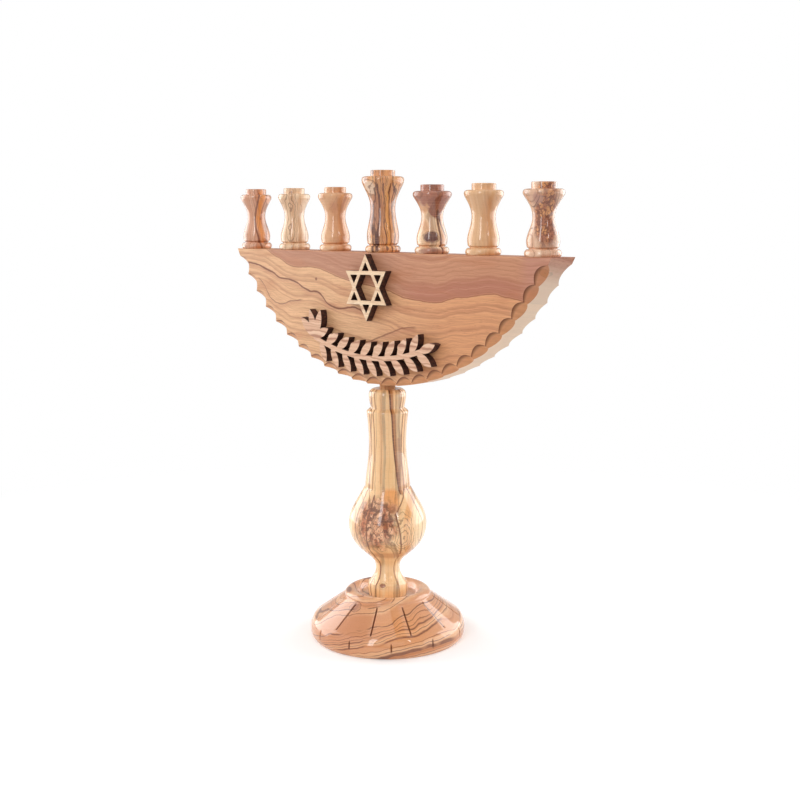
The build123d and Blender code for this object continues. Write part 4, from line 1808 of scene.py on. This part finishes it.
LAMPS = (
    SoftLamp("left_soft", -62, 1.0, 0.5, (0.8, 1.0), 0.62),
    SoftLamp("front_soft", 10, 1.2, 0.5, (0.6, 0.6), 0.7),
    SoftLamp("left_strip", -25, 1.1, 0.68, (0.2, 1.0), 7.0),
    SoftLamp("right_strip", 34, 1.1, 0.75, (0.05, 0.3), 12.0),
    SoftLamp("right_low", 72, 1.0, 0.14, (0.7, 0.5), 1.6),
    SoftLamp("left_rim", -118, 0.9, 0.35, (0.8, 1.0), 3.2),
    SoftLamp("right_rim", 112, 0.9, 0.3, (0.8, 1.0), 3.2),
    SoftLamp("top_soft", 20, 0.25, 1.1, (0.8, 0.8), 0.8),
)


@dataclass
class Studio:
    """Pale floor, white surround, soft lamps and the camera, in metres and degrees."""

    distance: float = 0.7426
    height: float = 0.27125
    pitch: float = -8.87
    yaw: float = -0.619
    lens: float = 52.77
    fill: float = 0.36
    mirrored: float = 0.55
    gap: float = 0.04
    gap_turn: float = 7.0
    gap_reach: Pair = (14, 30)
    floor_radius: float = 2.6
    floor_turns: int = 64
    floor_rings: int = 8
    shadow_reach: float = 0.55

    def camera(self) -> None:
        """Stand the camera in front of the right half of the board."""
        data = bpy.data.cameras.new("view")
        data.lens = self.lens
        data.sensor_width = 36.0
        camera = link_object("view", data)
        camera.location = around(0, self.distance, self.height)
        turn = (math.radians(90 + self.pitch), 0, math.radians(FRONT_TURN + self.yaw))
        camera.rotation_euler = Euler(turn)
        bpy.context.scene.camera = camera

    def surround(self) -> None:
        """Make a white surround that fills shadows gently.

        The camera sees a level of one and plain surfaces get the fill. A reflection
        gets the mirrored level, which falls to the gap's level where the direction
        lies within the gap's reach of its turn.
        """
        world = bpy.data.worlds.new("surround")
        world.use_nodes = True
        bpy.context.scene.world = world
        nodes = Nodes(world.node_tree)
        rays = nodes.add("ShaderNodeLightPath", {})
        glossy = rays.outputs["Is Glossy Ray"]
        way = nodes.add("ShaderNodeTexCoord", {}).outputs["Generated"]
        facing = nodes.vector("DOT_PRODUCT", way, around(self.gap_turn, 1.0))
        inner, outer = np.cos(np.radians(self.gap_reach)).tolist()
        mirror = nodes.rise(facing, outer, inner, self.gap, self.mirrored)
        seen = nodes.number("MAXIMUM", rays.outputs["Is Camera Ray"], rays.outputs["Is Transmission Ray"])
        level = nodes.number("MULTIPLY", glossy, mirror)
        fill = nodes.number("MULTIPLY", nodes.number("SUBTRACT", 1.0, glossy), self.fill)
        level = nodes.number("MAXIMUM", nodes.number("ADD", level, fill), seen)
        background = world.node_tree.nodes["Background"]
        world.node_tree.links.new(level, background.inputs["Strength"])
        background.inputs["Color"].default_value = (1, 1, 1, 1)

    def floor(self) -> None:
        """Lay a white floor that keeps the shadow and ends in the white surround.

        The floor is rings of even steps in radius round a middle face. Its paint fades
        from white to black at the shadow's reach, where a glow of one, seen only by
        the camera and in reflections, takes over from it.
        """
        rings, turns = self.floor_rings, self.floor_turns
        radius = np.linspace(0, 1, rings + 1)[1:, None] * self.floor_radius
        turn = even_turn(turns)[None, :]
        flat = (radius * np.cos(turn), radius * np.sin(turn), 0 * radius * turn)
        faces = grid_faces(rings, turns)[:, ::-1].tolist() + [tuple(range(turns))]
        mesh = bpy.data.meshes.new("floor")
        mesh.from_pydata(np.stack(flat, axis=-1).reshape(-1, 3).tolist(), [], faces)
        floor = link_object("floor", mesh)
        paint, nodes = new_material("white_floor")
        shader = paint.node_tree.nodes["Principled BSDF"]
        away = nodes.vector("LENGTH", nodes.add("ShaderNodeTexCoord", {}).outputs["Object"])
        fade = nodes.rise(away, self.shadow_reach, 0.4 * self.shadow_reach)
        ground = nodes.blend(fade, (0, 0, 0, 1), srgb(243, 242, 242))
        paint.node_tree.links.new(ground, shader.inputs["Base Color"])
        shader.inputs["Roughness"].default_value = 0.9
        shader.inputs["Specular IOR Level"].default_value = 0.0
        rays = nodes.add("ShaderNodeLightPath", {})
        seen = nodes.number("MAXIMUM", rays.outputs["Is Camera Ray"], rays.outputs["Is Glossy Ray"])
        glow = nodes.number("MULTIPLY_ADD", fade, -0.84, 1.0)
        shader.inputs["Emission Color"].default_value = (1, 1, 1, 1)
        paint.node_tree.links.new(nodes.number("MULTIPLY", seen, glow), shader.inputs["Emission Strength"])
        mesh.materials.append(paint)

    def build(self) -> None:
        """Set up camera, lamps, surround and floor."""
        self.camera()
        for lamp in LAMPS:
            lamp.hang()
        self.surround()
        self.floor()
        bpy.context.scene.view_settings.view_transform = "Standard"


def dress_dowels() -> None:
    """Give the dowels and pins, which keep their CAD meshes, a raw wood finish."""
    dowel = DOWEL_WOOD.build()
    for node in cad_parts:
        if "dowel" in node or "pin" in node:
            for slot in bpy.data.objects[node].material_slots:
                slot.material = dowel
            log.info("%s keeps its CAD mesh", node)


def main() -> None:
    """Build every piece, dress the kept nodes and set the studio."""
    logging.basicConfig(level=logging.INFO, format="%(name)s: %(message)s")
    TurnedBase().build(BASE_WOOD)
    TurnedStem().build(STEM_WOOD)
    HalfMoonBoard().build(BoardWood())
    for cup, wood in zip(CUPS, CUP_WOODS):
        cup.build(wood)
    SawnOrnament("star", "sawn_star").build(STAR_WOOD)
    SawnOrnament("olive_branch", "sawn_olive_branch").build(BRANCH_WOOD)
    dress_dowels()
    Studio().build()


if __name__ == "__main__":
    main()
